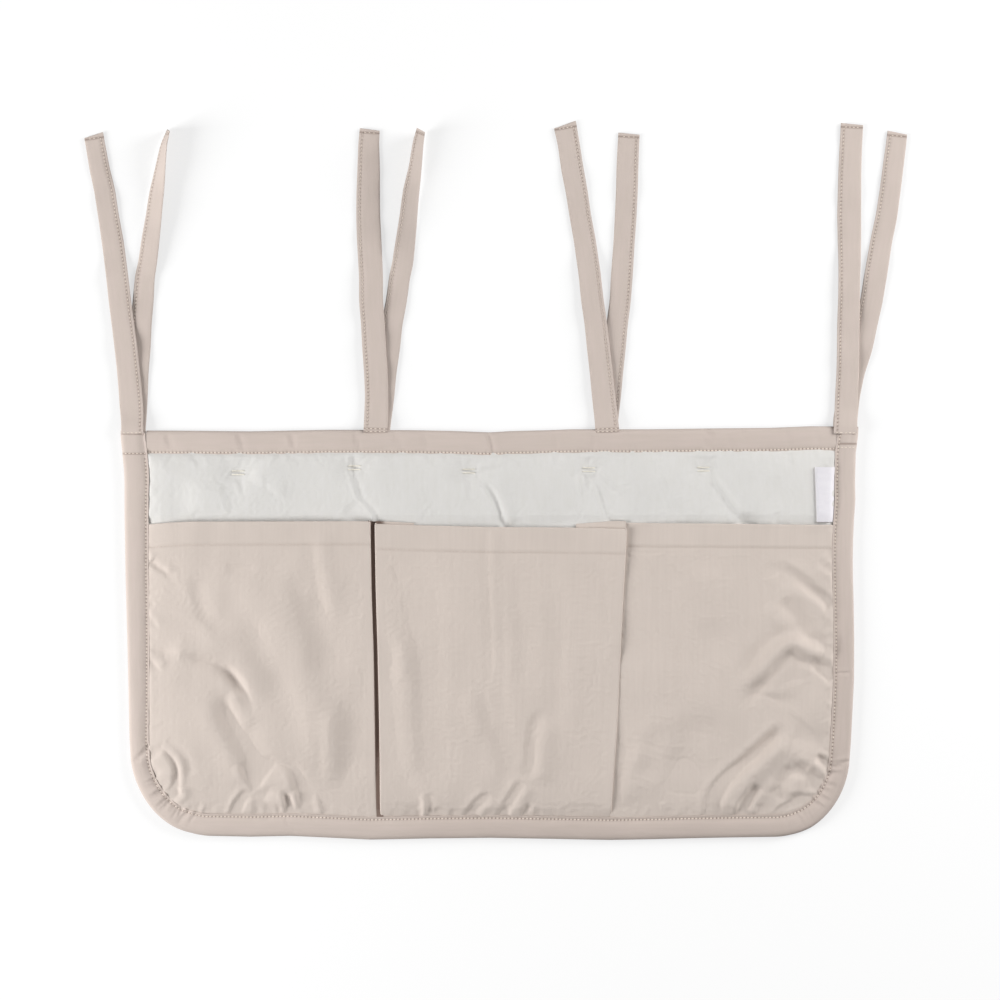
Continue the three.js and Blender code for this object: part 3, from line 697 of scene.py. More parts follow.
centrePocketFolds = fromPhoto([
    (1, 4, 0, 0.1, 0.2, [(492, 522), (491, 560), (492, 600), (494, 650), (493, 690)]),
    (-0.9, 11, 0, 0.2, 0.2, [(410, 565), (416, 630), (420, 700), (424, 770), (428, 800)]),
    (0.9, 12, 0, 0.2, 0.2, [(398, 625), (400, 690), (404, 760), (412, 790)]),
    (-0.6, 5, 0, 0.3, 0.4, [(392, 560), (397, 578), (402, 590)]),
    (0.8, 7, 0, 0.3, 0.3, [(380, 620), (396, 650), (396, 690)]),
    (0.7, 7, 0, 0.3, 0.3, [(460, 690), (468, 712), (476, 745)]),
    (-0.8, 9, 0, 0.3, 0.2, [(480, 695), (492, 725), (502, 760), (506, 790)]),
    (0.7, 5, 0, 0.3, 0.3, [(484, 680), (492, 710), (497, 735)]),
    (-0.5, 8, 0, 0.2, 0.2, [(515, 560), (516, 640), (518, 700)]),
    (0.5, 7, 0, 0.2, 0.2, [(508, 600), (510, 680), (511, 750)]),
    (-1.6, 5, 0, 0.3, 0.2, [(545, 708), (534, 720), (529, 742), (527, 765), (521, 780)]),
    (1.4, 8, 0, 0.2, 0.2, [(552, 715), (540, 730), (537, 760), (532, 785)]),
    (0.6, 8, 0, 0.2, 0.3, [(565, 545), (567, 620), (566, 690), (562, 760)]),
    (-0.6, 12, 0, 0.2, 0.3, [(590, 690), (588, 740), (582, 790)]),
    (0.7, 6, 0, 0.3, 0.2, [(600, 575), (609, 600), (612, 660)]),
    (-0.9, 8, 0, 0.3, 0.3, [(382, 757), (398, 772), (412, 790)]),
    (1, 7, 0, 0.3, 0.1, [(388, 762), (408, 778), (420, 795), (423, 812)]),
    (-2.2, 3, 0, 0.2, 0, [(425, 793), (427.5, 803), (428, 818)]),
    (0.8, 3, 0, 0.2, 0.1, [(421, 793), (423, 806), (423, 816)]),
    (-1.3, 2.4, 0, 0.2, 0, [(437.4, 806), (433, 818)]),
    (-2.4, 3.4, 0, 0.25, 0, [(488.8, 791), (477.5, 800.3), (469, 810), (465, 819)]),
    (1.5, 4.5, 0, 0.2, 0.1, [(494, 798), (485, 805), (476, 814)]),
    (-2.4, 3.4, 0, 0.2, 0, [(520, 779), (511, 794), (504, 806), (499, 819)]),
    (1.7, 4.5, 0, 0.2, 0.1, [(528, 782), (519, 797), (512, 808), (508, 817)]),
    (-1.7, 2.8, 0, 0.2, 0, [(527, 803), (524, 811), (523, 819)]),
    (0.9, 2.8, 0, 0.2, 0.1, [(534, 803), (530, 812)]),
    (-0.7, 2.4, 0, 0.2, 0, [(452, 808), (451, 819)]),
    (-0.7, 2.6, 0, 0.2, 0, [(562, 806), (564, 818)]),
    (-0.7, 2.6, 0, 0.2, 0, [(572, 809), (572, 819)]),
    (0.6, 3, 0, 0.3, 0.2, [(594, 792), (597, 808)]),
])
rightPocketFolds = fromPhoto([
    (-2.8, 5, 0, 0.2, 0,
     [(783, 719), (770, 735), (757, 748), (742, 761), (727, 774), (716, 786), (709.5, 799),
      (707, 818)]),
    (2, 8, 0, 0.2, 0.1, [(787, 729), (772, 746), (753, 764), (738, 778), (727, 792), (720, 812)]),
    (-2.4, 3.6, 0, 0.3, 0, [(756, 780), (749, 791), (741, 803), (736.5, 818)]),
    (1.5, 4, 0, 0.3, 0.1, [(763, 786), (755, 798), (748, 812)]),
    (-1.4, 3, 0, 0.3, 0, [(757, 802), (758, 818)]),
    (-2.2, 6, -0.2, 0, 0.3,
     [(829, 668), (816, 661), (803, 656), (790, 651), (777, 661), (764, 677), (750, 692), (738, 708)]),
    (1.9, 9, 0.2, 0.1, 0.3, [(824, 652), (806, 645), (790, 641), (772, 652), (755, 672), (742, 690)]),
    (-2, 2.6, 0, 0, 0.4, [(831, 679), (825, 672), (816, 662)]),
    (1, 3, 0, 0, 0.4, [(830, 686), (824, 676), (818, 668)]),
    (0.7, 16, 0, 0.2, 0.2, [(795, 680), (800, 700), (790, 715)]),
    (-1.3, 5, 0, 0, 0.3, [(831, 600), (818, 590), (803, 578), (788, 568), (772, 560)]),
    (1.2, 5, 0, 0, 0.3, [(832, 612), (816, 600), (802, 590), (788, 580)]),
    (1, 4, 0, 0, 0.5, [(832, 574), (824, 570), (812, 564)]),
    (-1, 2.6, 0, 0, 0.5, [(832, 616), (828, 608), (822, 603)]),
    (1, 7, 0, 0.2, 0.3, [(770, 600), (786, 618), (800, 636), (812, 646)]),
    (-1, 8, 0, 0.2, 0.3, [(785, 596), (798, 612), (812, 632)]),
    (-0.6, 5, 0, 0.2, 0.3, [(770, 560), (780, 575), (778, 590)]),
    (0.7, 4, 0, 0, 0.5, [(832, 560), (820, 552)]),
    (-1.4, 5, 0, 0.2, 0.2, [(770, 796), (780, 783), (786, 770), (792, 763)]),
    (-1.4, 5, 0, 0, 0.2, [(826, 786), (815, 775), (803, 766), (792, 762)]),
    (1.2, 7, 0, 0.2, 0.2, [(778, 790), (793, 778), (806, 780)]),
    (0.9, 10, 0, 0.2, 0.2, [(790, 745), (810, 750), (822, 756)]),
    (-1.8, 3, 0, 0, 0.1, [(772, 818), (780.8, 808), (792.6, 801.6), (801, 799), (806, 803), (806, 811)]),
    (-1.8, 3.6, 0, 0.2, 0.1, [(788, 797), (798, 795), (810, 797), (820, 800)]),
    (1.2, 3.4, 0, 0.1, 0.1, [(782, 815), (792, 807), (800, 805), (803, 812)]),
    (-1.6, 3, 0, 0.2, 0, [(816, 754), (824, 758), (831, 764)]),
    (1.3, 3.6, 0, 0.2, 0, [(812, 760), (820, 765), (828, 773)]),
    (-0.6, 3, 0, 0.2, 0.3, [(792, 752), (790, 760), (788, 768)]),
    (-1.2, 2.6, 0, 0.3, 0, [(652, 806), (650, 818)]),
    (1, 2.4, 0, 0.3, 0.1, [(660, 802), (663, 811)]),
    (-0.9, 2.4, 0, 0.3, 0, [(668, 808), (668, 818)]),
    (-0.9, 2.6, 0, 0.3, 0, [(682, 812), (682, 819)]),
    (-0.7, 2.4, 0, 0.3, 0, [(694, 810), (694, 819)]),
    (0.7, 8, 0, 0.2, 0.2, [(640, 740), (626, 780), (620, 805)]),
    (-0.8, 10, 0, 0.3, 0.3, [(656, 715), (650, 745), (634, 785)]),
    (-0.6, 12, 0, 0.3, 0.3, [(665, 745), (662, 790), (660, 800)]),
    (0.7, 14, 0, 0.3, 0.3, [(690, 560), (694, 600), (700, 640)]),
    (0.6, 20, 0, 0.3, 0.3, [(720, 640), (700, 690), (690, 730)]),
    (-0.7, 14, 0, 0.3, 0.2, [(690, 700), (680, 760), (690, 800)]),
])


# The bindings' middle line round the panel: places, inward directions and length from the top left
def outlinePath(step, topStart=topY):
    parts = []
    downY = np.arange(topStart, cornerY, -step)
    parts.append(np.column_stack([-halfWidth(downY), downY, np.ones_like(downY), np.zeros_like(downY)]))
    turn = np.arange(0, math.pi / 2, step / panel["cornerRadius"])
    c, s = np.cos(turn), np.sin(turn)
    radius = panel["cornerRadius"]
    parts.append(np.column_stack([-flatHalf - radius * c, cornerY - radius * s, c, s]))
    acrossX = np.arange(-flatHalf, flatHalf, step)
    parts.append(
        np.column_stack(
            [acrossX, np.full_like(acrossX, bottomY), np.zeros_like(acrossX), np.ones_like(acrossX)]
        )
    )
    c, s = np.cos(turn[::-1]), np.sin(turn[::-1])
    parts.append(np.column_stack([flatHalf + radius * c, cornerY - radius * s, -c, s]))
    upY = np.append(np.arange(cornerY + step, topStart, step), topStart)
    parts.append(np.column_stack([halfWidth(upY), upY, -np.ones_like(upY), np.zeros_like(upY)]))
    return np.vstack(parts)


# Width of the side tape at each station of the outline
def sideTapeWidth(path):
    x, y = path[:, 0], path[:, 1]
    past, below = np.maximum(np.abs(x) - flatHalf, 0), np.maximum(cornerY - y, 0)
    low = below / (below + past + 1e-6)
    side = np.where(x < 0, leftTapeWidth(y), tape["rightWidth"])
    return side + (tape["bottomWidth"] - side) * low


# Plan of a grid that follows the outline, inset mm inside it: columns and rows of the bottom width
def panelPlan(columns, rows, inset):
    c, r = np.meshgrid(columns, rows)
    reach = panel["cornerRadius"] - inset
    a = np.clip((np.abs(c) - flatHalf) / reach, 0, 1)
    b = np.clip((cornerY - r) / reach, 0, 1)
    side = halfWidth(np.maximum(r, cornerY)) - inset - flatHalf
    x = np.sign(c) * np.where(a > 0, flatHalf + a * np.sqrt(1 - b**2 / 2) * side, np.abs(c))
    y = np.where(b > 0, cornerY - b * np.sqrt(1 - a**2 / 2) * reach, r)
    return x, y


def tackPull(x, y):
    pull = 0
    for tackX, tackY in tacks["places"]:
        r = np.hypot((x - tackX) / 1.25, y - tackY) / layers["tackDipRadius"]
        pull = pull + np.exp(-r * r * 2.4)
    return layers["tackDip"] * pull


# The narrow groove between the two bars of a tack
def tackGroove(x, y):
    groove = 0
    for tackX, tackY in tacks["places"]:
        groove = groove + np.exp(-(((x - tackX) / 5.5) ** 4) - ((y - tackY) / 1.5) ** 2)
    return tacks["groove"] * groove


# Top of the lining: stuffed between its seams and drawn down at the tacks
def liningTop(x, y):
    inside = insideTapes(x, y)
    lip = layers["lipRise"] * smooth((inside + 3.2) / 4.2)
    lip = (
        lip
        + (layers["openRise"] * smooth((inside + 2) / 3) + layers["flank"] * smooth((inside + 0.3) / 1.5))
        * smooth((y - 90) / 8)
    )
    crown = layers["crown"] * quickRise(inside / (layers["crownRun"] - 14 * smooth((y - 84) / 8)))
    return layers["liningEdgeTop"] + lip + crown - tackPull(x, y) * smooth(inside / 5)


def backBottom(x, y):
    return 1.1 * (1 - smooth((insideTapes(x, y) - 4.5) / 9))


# Meshes


# A grid primitive with each vertex put in its place: rows x columns of points and of flat places
def gridPiece(name, points, flat, closed=False):
    rows, columns = points.shape[:2]
    bpy.ops.object.select_all(action="DESELECT")
    bpy.ops.mesh.primitive_grid_add(x_subdivisions=columns - 1, y_subdivisions=rows - 1, size=1)
    piece = bpy.context.object
    piece.name = piece.data.name = name
    mesh = piece.data
    mesh.vertices.foreach_set("co", (points * mm).astype(np.float32).ravel())
    corner = np.empty(len(mesh.loops), np.int32)
    mesh.loops.foreach_get("vertex_index", corner)
    mesh.uv_layers[0].data.foreach_set(
        "uv", (flat.reshape(-1, 2)[corner] * mm).astype(np.float32).ravel()
    )
    mesh.update()
    if closed:  # the last column lies on the first, and both ends are open
        bpy.ops.object.mode_set(mode="EDIT")
        bpy.ops.mesh.select_all(action="SELECT")
        bpy.ops.mesh.remove_doubles(threshold=1e-6)
        bpy.ops.mesh.select_all(action="SELECT")
        bpy.ops.mesh.fill_holes(sides=0)
        bpy.ops.mesh.select_all(action="SELECT")
        bpy.ops.mesh.normals_make_consistent(inside=False)
        bpy.ops.object.mode_set(mode="OBJECT")
    return piece


def vertexValues(piece, name, values):
    attribute = piece.data.attributes.new(name, "FLOAT", "POINT")
    attribute.data.foreach_set("value", np.asarray(values, np.float32).ravel())


def choose(piece):
    bpy.ops.object.select_all(action="DESELECT")
    piece.select_set(True)
    bpy.context.view_layer.objects.active = piece


def thicken(piece, thickness):
    modifier = piece.modifiers.new("clothThickness", "SOLIDIFY")
    modifier.thickness = thickness * mm
    modifier.offset = -1
    bpy.ops.object.modifier_apply(modifier=modifier.name)


def dress(piece, material, sharpFrom=58):
    piece.data.materials.clear()
    piece.data.materials.append(material)
    choose(piece)
    bpy.ops.object.shade_smooth_by_angle(angle=math.radians(sharpFrom))


settling = {
    "frames": 14,
    "quality": 4,
    "mass": 0.15,
    "stretchStiffness": 12,
    "shearStiffness": 5,
    "airDamping": 4,
    "slack": 0.008,  # share by which the cloth is larger than the shape it starts from
    "pressure": 0.25,
    "bending": 0.05,
    "cap": 0.5,  # how far a point may move
}


# Lets cloth settle by simulation: held is 1 where it is sewn, and less where it only keeps near its place
def settleCloth(piece, held):
    scene = bpy.context.scene
    choose(piece)
    group = piece.vertex_groups.new(name="held")
    levels = np.round(np.asarray(held).ravel() * 20).astype(int)
    for level in np.unique(levels):
        group.add(np.flatnonzero(levels == level).tolist(), level / 20, "REPLACE")
    before = np.empty(len(piece.data.vertices) * 3, np.float32)
    piece.data.vertices.foreach_get("co", before)
    modifier = piece.modifiers.new("settling", "CLOTH")
    cloth = modifier.settings
    cloth.quality = settling["quality"]
    cloth.mass = settling["mass"]
    cloth.tension_stiffness = settling["stretchStiffness"]
    cloth.compression_stiffness = settling["stretchStiffness"]
    cloth.shear_stiffness = settling["shearStiffness"]
    cloth.bending_stiffness = settling["bending"]
    cloth.air_damping = settling["airDamping"]
    cloth.shrink_min = -settling["slack"]
    cloth.use_pressure = True
    cloth.uniform_pressure_force = settling["pressure"]
    cloth.vertex_group_mass = "held"
    cloth.pin_stiffness = 1
    cloth.effector_weights.gravity = 0
    modifier.collision_settings.use_collision = False
    for frameNumber in range(1, settling["frames"] + 1):
        scene.frame_set(frameNumber)
    bpy.ops.object.modifier_apply(modifier=modifier.name)
    scene.frame_set(1)
    after = np.empty_like(before)
    piece.data.vertices.foreach_get("co", after)
    shift = (after - before).reshape(-1, 3)
    size = np.maximum(np.linalg.norm(shift, axis=1, keepdims=True), 1e-9)
    limit = settling["cap"] * mm
    shift *= limit * np.tanh(size / limit) / size
    mean, largest = (round(float(v / mm), 3) for v in (size.mean(), size.max()))
    print(piece.name, "settled: mean move", mean, "largest", largest)
    piece.data.vertices.foreach_set("co", (before.reshape(-1, 3) + shift).ravel())
    piece.data.update()
    piece.vertex_groups.clear()


def gridNormals(points):
    normals = np.cross(np.gradient(points, axis=1), np.gradient(points, axis=0))
    return normals / np.maximum(np.linalg.norm(normals, axis=2, keepdims=True), 1e-9)


def unit(vectors):
    return vectors / np.maximum(np.linalg.norm(vectors, axis=-1, keepdims=True), 1e-9)


# The mouth of a pocket is turned over and runs back down on the inside
def turnedHem(points, flat, depth, radius, every=2, sides=(0, 0)):
    body = len(points)
    normals = gridNormals(points)
    up, inward = unit(points[-1] - points[-2]), -normals[-1]
    newPoints, newFlat = [points], [flat]
    for share in (0.2, 0.4, 0.6, 0.8, 1):
        turn = share * math.pi
        newPoints.append(
            (points[-1] + radius * (up * math.sin(turn) + inward * (1 - math.cos(turn))))[None]
        )
        newFlat.append((flat[-1] + np.array([0, radius * turn]))[None])
    row = len(points) - 1 - every
    while row > 0 and np.all(flat[-1, :, 1] - flat[row, :, 1] < depth):
        newPoints.append((points[row] - 2 * radius * normals[row])[None])
        back = 2 * flat[-1, :, 1] - flat[row, :, 1] + radius * math.pi
        newFlat.append(np.column_stack([flat[row, :, 0], back])[None])
        row -= every
    points, flat = np.concatenate(newPoints), np.concatenate(newFlat)
    # At a folded side the turned part stays inside the fold
    left, right = sides
    for k in range(left):
        points[body:, left - 1 - k] = points[body:, left] + np.array([0.12, 0, -0.04]) * (k + 1)
    last = points.shape[1] - 1 - right
    for k in range(right):
        points[body:, last + 1 + k] = points[body:, last] + np.array([-0.12, 0, -0.04]) * (k + 1)
    return points, flat


def spaced(start, end, step):
    return np.linspace(start, end, max(2, int(round(abs(end - start) / step)) + 1))


# Stitches

stitch = {
    "pitch": 3.0,
    "length": 2.0,
    "width": 0.42,  # half across
    "height": 0.26,  # half through
    "lift": 0.14,
}

# One stitch, copied along every seam: a slim six-sided bead
bpy.ops.object.select_all(action="DESELECT")
bpy.ops.mesh.primitive_uv_sphere_add(segments=6, ring_count=5, radius=1)
bead = bpy.context.object
beadPoints = np.array([v.co for v in bead.data.vertices])
beadPoints[:, :2] *= np.where(np.abs(beadPoints[:, 2:]) < 0.5, 0.92, 1.25)
beadFaces = [tuple(p.vertices) for p in bead.data.polygons]
bpy.data.objects.remove(bead)


# Stitches along a line of points, with the direction that faces out of the cloth
def stitchesAlong(path, out, seed, pitch=stitch["pitch"], scale=1.0):
    random = np.random.default_rng(seed)
    steps = np.linalg.norm(np.diff(path, axis=0), axis=1)
    along = np.concatenate([[0], np.cumsum(steps)])
    count = max(1, int(along[-1] / pitch))
    places = (np.arange(count) + 0.5) * along[-1] / count

    def at(place, values):
        return np.column_stack([np.interp(place, along, values[:, k]) for k in range(3)])

    out = np.broadcast_to(out, path.shape)
    centre = at(places, path)
    forward = unit(at(places + 0.6, path) - at(places - 0.6, path))
    up = unit(at(places, out))
    side = unit(np.cross(up, forward))
    turn = random.uniform(-0.09, 0.09, count)[:, None]
    forward, side = forward + turn * side, side - turn * forward
    half = stitch["length"] / 2 * scale * random.uniform(0.93, 1.05, count)[:, None, None]
    b = beadPoints[None]
    points = centre[:, None] + forward[:, None] * b[..., 2:] * half
    points = points + side[:, None] * b[..., :1] * stitch["width"] * scale
    rise = b[..., 1:2] * stitch["height"] * scale + stitch["lift"] - 0.26 * b[..., 2:] ** 2
    return points + up[:, None] * rise


def threadPiece(name, runs, material):
    points = np.concatenate(runs)
    count, size = points.shape[:2]
    faces = [tuple(v + k * size for v in face) for k in range(count) for face in beadFaces]
    mesh = bpy.data.meshes.new(name)
    mesh.from_pydata((points * mm).reshape(-1, 3), [], faces)
    piece = bpy.data.objects.new(name, mesh)
    bpy.context.scene.collection.objects.link(piece)
    choose(piece)
    bpy.ops.object.mode_set(mode="EDIT")
    bpy.ops.mesh.select_all(action="SELECT")
    bpy.ops.mesh.normals_make_consistent(inside=False)
    bpy.ops.object.mode_set(mode="OBJECT")
    dress(piece, material)
    return piece


# Painted shade of a dark needle hole between each two stitches of a line, and a fainter one all along it,
# as a value on the cloth's vertices
def stitchShadeValues(line, offLine, pitch=stitch["pitch"]):
    along = np.concatenate([[0], np.cumsum(np.linalg.norm(np.diff(line, axis=0), axis=1))])
    step = along[-1] / max(1, int(along[-1] / pitch))
    hole = np.cos(math.pi * along / step) ** 2
    return (0.14 + 0.56 * hole**4)[:, None] * np.exp(-((offLine / 0.8) ** 2))


# Strength of the folds read off the photograph
strength = {"lining": 1.0, "left": 1.3, "centre": 1.0, "right": 1.3, "topTape": 1.9, "gathers": 1.0}

# Inner layers

seam = outlinePath(2.0)
tapeReach = sideTapeWidth(seam)
seamX, seamY = settled(seam[:, 0] + seam[:, 2] * tapeReach, seam[:, 1] + seam[:, 3] * tapeReach)
seamLine, seamInwards = np.column_stack([seamX, seamY]), seam[:, 2:]


def seamPart(keep):
    return seamLine[keep], seamInwards[keep]


topSeamX = np.arange(-278, 279, 2.0)
topSeam = np.column_stack(settled(topSeamX, np.full_like(topSeamX, topY - tape["topWidth"])))
topInwards = np.tile([0.0, -1.0], (len(topSeam), 1))
upperSides = seamLine[:, 1] > 90
liningPuckers = seamPuckers(topSeam, topInwards, 11, 9, 0.55, 11)
for keep in (upperSides & (seamLine[:, 0] < 0), upperSides & (seamLine[:, 0] > 0)):
    liningPuckers += seamPuckers(*seamPart(keep), 9, 7, 0.6, 12)
# Fine gathers that the tacks draw into the lining
random = np.random.default_rng(5)
for tackX, tackY in tacks["places"]:
    turns = np.arange(0, 2 * math.pi, tacks["gatherTurn"])
    for turn in turns + random.uniform(-0.2, 0.2, len(turns)):
        reach = (tacks["gatherFrom"], random.uniform(*tacks["gatherTo"]))
        ends = [(tackX + r * 1.1 * math.cos(turn), tackY + r * 0.8 * math.sin(turn)) for r in reach]
        amount = random.choice([-0.35, 0.25]) * random.uniform(0.5, 1.2)
        liningPuckers.append((amount, random.uniform(1.5, 2.4), 0, 0.15, 0.7, ends))

lining = {
    "column": 1.5,
    "visibleRow": 1.25,
    "hiddenRow": 6,
    "inset": 4.5,
    "topInset": 5,
    "visibleFrom": 80,
    "foldsFrom": 78,  # below this the pockets hide it and it stays plain
    "sewnBelow": 84,
}


# Folds and unevenness of the lining, at its settled place X, Y and its flat place x, y
def liningRelief(X, Y, x, y, folds):
    inside = insideTapes(x, y)
    fade = smooth((inside + 2) / 4) * smooth((y - lining["foldsFrom"]) / 9)
    uneven = 0.22 * unevenness(X, Y, 34, 3) * smooth(inside / 12)
    return strength["lining"] * foldRelief(X, Y, folds) * fade + uneven


hiddenRows = spaced(bottomY + lining["inset"], lining["visibleFrom"], lining["hiddenRow"])
visibleRows = spaced(lining["visibleFrom"], topY - lining["topInset"], lining["visibleRow"])[1:]
liningRows = np.concatenate([hiddenRows, visibleRows])
edge = flatHalf + panel["cornerRadius"] - lining["inset"]
liningColumns = spaced(-edge, edge, lining["column"])
x, y = panelPlan(liningColumns, liningRows, lining["inset"])
X, Y = settled(x, y)
inside = insideTapes(x, y)
relief = liningRelief(X, Y, x, y, liningFolds + liningPuckers)
z = liningTop(x, y) + relief - tackGroove(X, Y)
frontLining = gridPiece("frontLining", np.dstack([X, Y, z]), np.dstack([x, y]))
atTack = np.exp(-((tackPull(x, y) / layers["tackDip"] - 1) / 0.15) ** 2)
atEdge = np.maximum(1 - smooth(inside / 3), 1 - smooth((y - lining["sewnBelow"]) / 6))
settleCloth(frontLining, np.maximum(atEdge, np.maximum(atTack, 0.2)))
thicken(frontLining, layers["liningThickness"])
dress(frontLining, liningCotton)
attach(frontLining, "panel")
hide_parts("front_lining")


# Height of the lining without its finest gathers, for what lies on it
def liningAt(X, Y, x, y):
    return liningTop(x, y) + liningRelief(X, Y, x, y, liningFolds)


back = {
    "step": 3.0,
    "padStep": 5,  # of the wadding's grid
    "inset": 3.5,
    "dimple": 0.9,
    "padReach": (3.5, 3),  # straight and slanting, how far round it the wadding keeps under the lining
}


def backPlan(step):
    edge = flatHalf + panel["cornerRadius"] - back["inset"]
    rows = spaced(bottomY + back["inset"], topY - back["inset"], step)
    return panelPlan(spaced(-edge, edge, step), rows, back["inset"])


x, y = backPlan(back["step"])
X, Y = settled(x, y)
backDimples = back["dimple"] / layers["tackDip"] * tackPull(x, y)
wrinkles = 0.25 * (1 + unevenness(X, Y, 45, 8)) * smooth(insideTapes(x, y) / 20)
top = backBottom(x, y) + layers["backThickness"] + np.clip(backDimples + wrinkles, 0, 1)
backCloth = gridPiece("backCloth", np.dstack([X, Y, top]), np.dstack([x, y]))
thicken(backCloth, layers["backThickness"])
dress(backCloth, pocketCotton)
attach(backCloth, "panel")
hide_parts("back_cloth")

# Wadding: a closed pad between the two, thin at its sewn edge
x, y = backPlan(back["padStep"])
X, Y = settled(x, y)
dimples = back["dimple"] / layers["tackDip"] * tackPull(x, y)
under = backBottom(x, y) + layers["backThickness"] + 0.2 + np.clip(dimples + 0.5, 0, 1)
r, d = back["padReach"]
around = [(0, 0), (r, 0), (-r, 0), (0, r), (0, -r), (d, d), (d, -d), (-d, d), (-d, -d)]
lowest = np.min([liningAt(X + dx, Y + dy, x + dx, y + dy) for dx, dy in around], axis=0)
ceiling = lowest - layers["liningThickness"] - 1.1 * smooth(insideTapes(x, y) / 4) - 0.15
over = np.maximum(ceiling, under + 0.4)
topFace = np.dstack([X, Y, over])
wadding = gridPiece("waddingPad", topFace, np.dstack([x, y]))
bpy.ops.object.mode_set(mode="EDIT")
bpy.ops.mesh.select_all(action="SELECT")
bpy.ops.mesh.extrude_region_move(TRANSFORM_OT_translate={"value": (0, 0, 0)})
bpy.ops.object.mode_set(mode="OBJECT")
co = np.empty(len(wadding.data.vertices) * 3, np.float32)
wadding.data.vertices.foreach_get("co", co)
co = co.reshape(-1, 3)
count = topFace.shape[0] * topFace.shape[1]
bottomFace = np.dstack([X, Y, under]).reshape(-1, 3) * mm
co[:count] = bottomFace  # the extrude left the first copy behind
wadding.data.vertices.foreach_set("co", co.ravel())
wadding.data.update()
bpy.ops.object.mode_set(mode="EDIT")
bpy.ops.mesh.select_all(action="SELECT")
bpy.ops.mesh.normals_make_consistent(inside=False)
bpy.ops.object.mode_set(mode="OBJECT")
dress(wadding, waddingFibre)
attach(wadding, "panel")
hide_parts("wadding")
print("inner layers ready")

# Side pockets

pocket = {
    "step": 1.35,
    "thickness": 0.6,
    "hemDepth": 18,
    "hemRadius": 0.75,
    "inset": 5,
    "rowsTo": 92,  # a little above the mouths, which the rows are then bent to
    "gap": 2.3,  # how far the mouth stands off the lining
    "flank": 0.7,
    "rise": 52,
    "ease": 55,
    "leftEdge": [(-152, -91.7), (-103, -92.8), (-68, -93.3), (-15, -94.1), (38, -95.8), (92, -96.6)],
    "rightEdgeX": 98.6,
    "creaseStand": 0.6,  # share of the gap that is left at the standing crease
    "creaseRadius": 0.8,
    "leftMouth": [(-290, 88.4), (-276, 88.7), (-260, 90.1), (-244, 90.9), (-96, 91.2)],
    "rightMouth": [(98, 90.2), (140, 89.4), (180, 89.3), (230, 88.6), (290, 88.0)],
    "hemStitchBelow": 18.2,
    "mouthLift": [
        (-290, 0), (-250, 0.4), (-200, 0.6), (-165, 1.8), (-105, 1.5), (-90, 0.2), (90, 0), (118, -0.6),
        (200, -0.6), (250, -0.3), (290, 0),
    ],
}


# The mouths stand further off the lining than the pocket below them: (place, extra height)
def mouthLift(X, fromMouth):
    return between(pocket["mouthLift"], X) * smooth((fromMouth + 24) / 24)


# Heights of a side pocket over the lining
def sidePocketTop(x, y, seamX, stand):
    inside = insideTapes(x, y)
    kept = stand * smooth((y + 150) / 60)
    fromSeam = kept + (1 - kept) * smooth(np.abs(x - seamX) / pocket["ease"])
    rise = quickRise(inside / pocket["rise"]) * (0.35 + 0.65 * smooth((y + 152) / 75))
    flank = pocket["flank"] * smooth((inside + 1.0) / 1.5) * smooth((y + 140) / 60)
    return (
        liningTop(x, y)
        + 0.6 * tackPull(x, y)
        + layers["pocketStep"]
        + flank
        + pocket["gap"] * fromSeam * rise
    )


# The hem is thicker, and its stitches press a groove into it
def hemGroove(y, mouth, stitchBelow):
    fromLine = y - (mouth - stitchBelow)
    return 0.35 * smooth(fromLine / 1.2) - 0.22 * np.exp(-((fromLine / 0.9) ** 2))


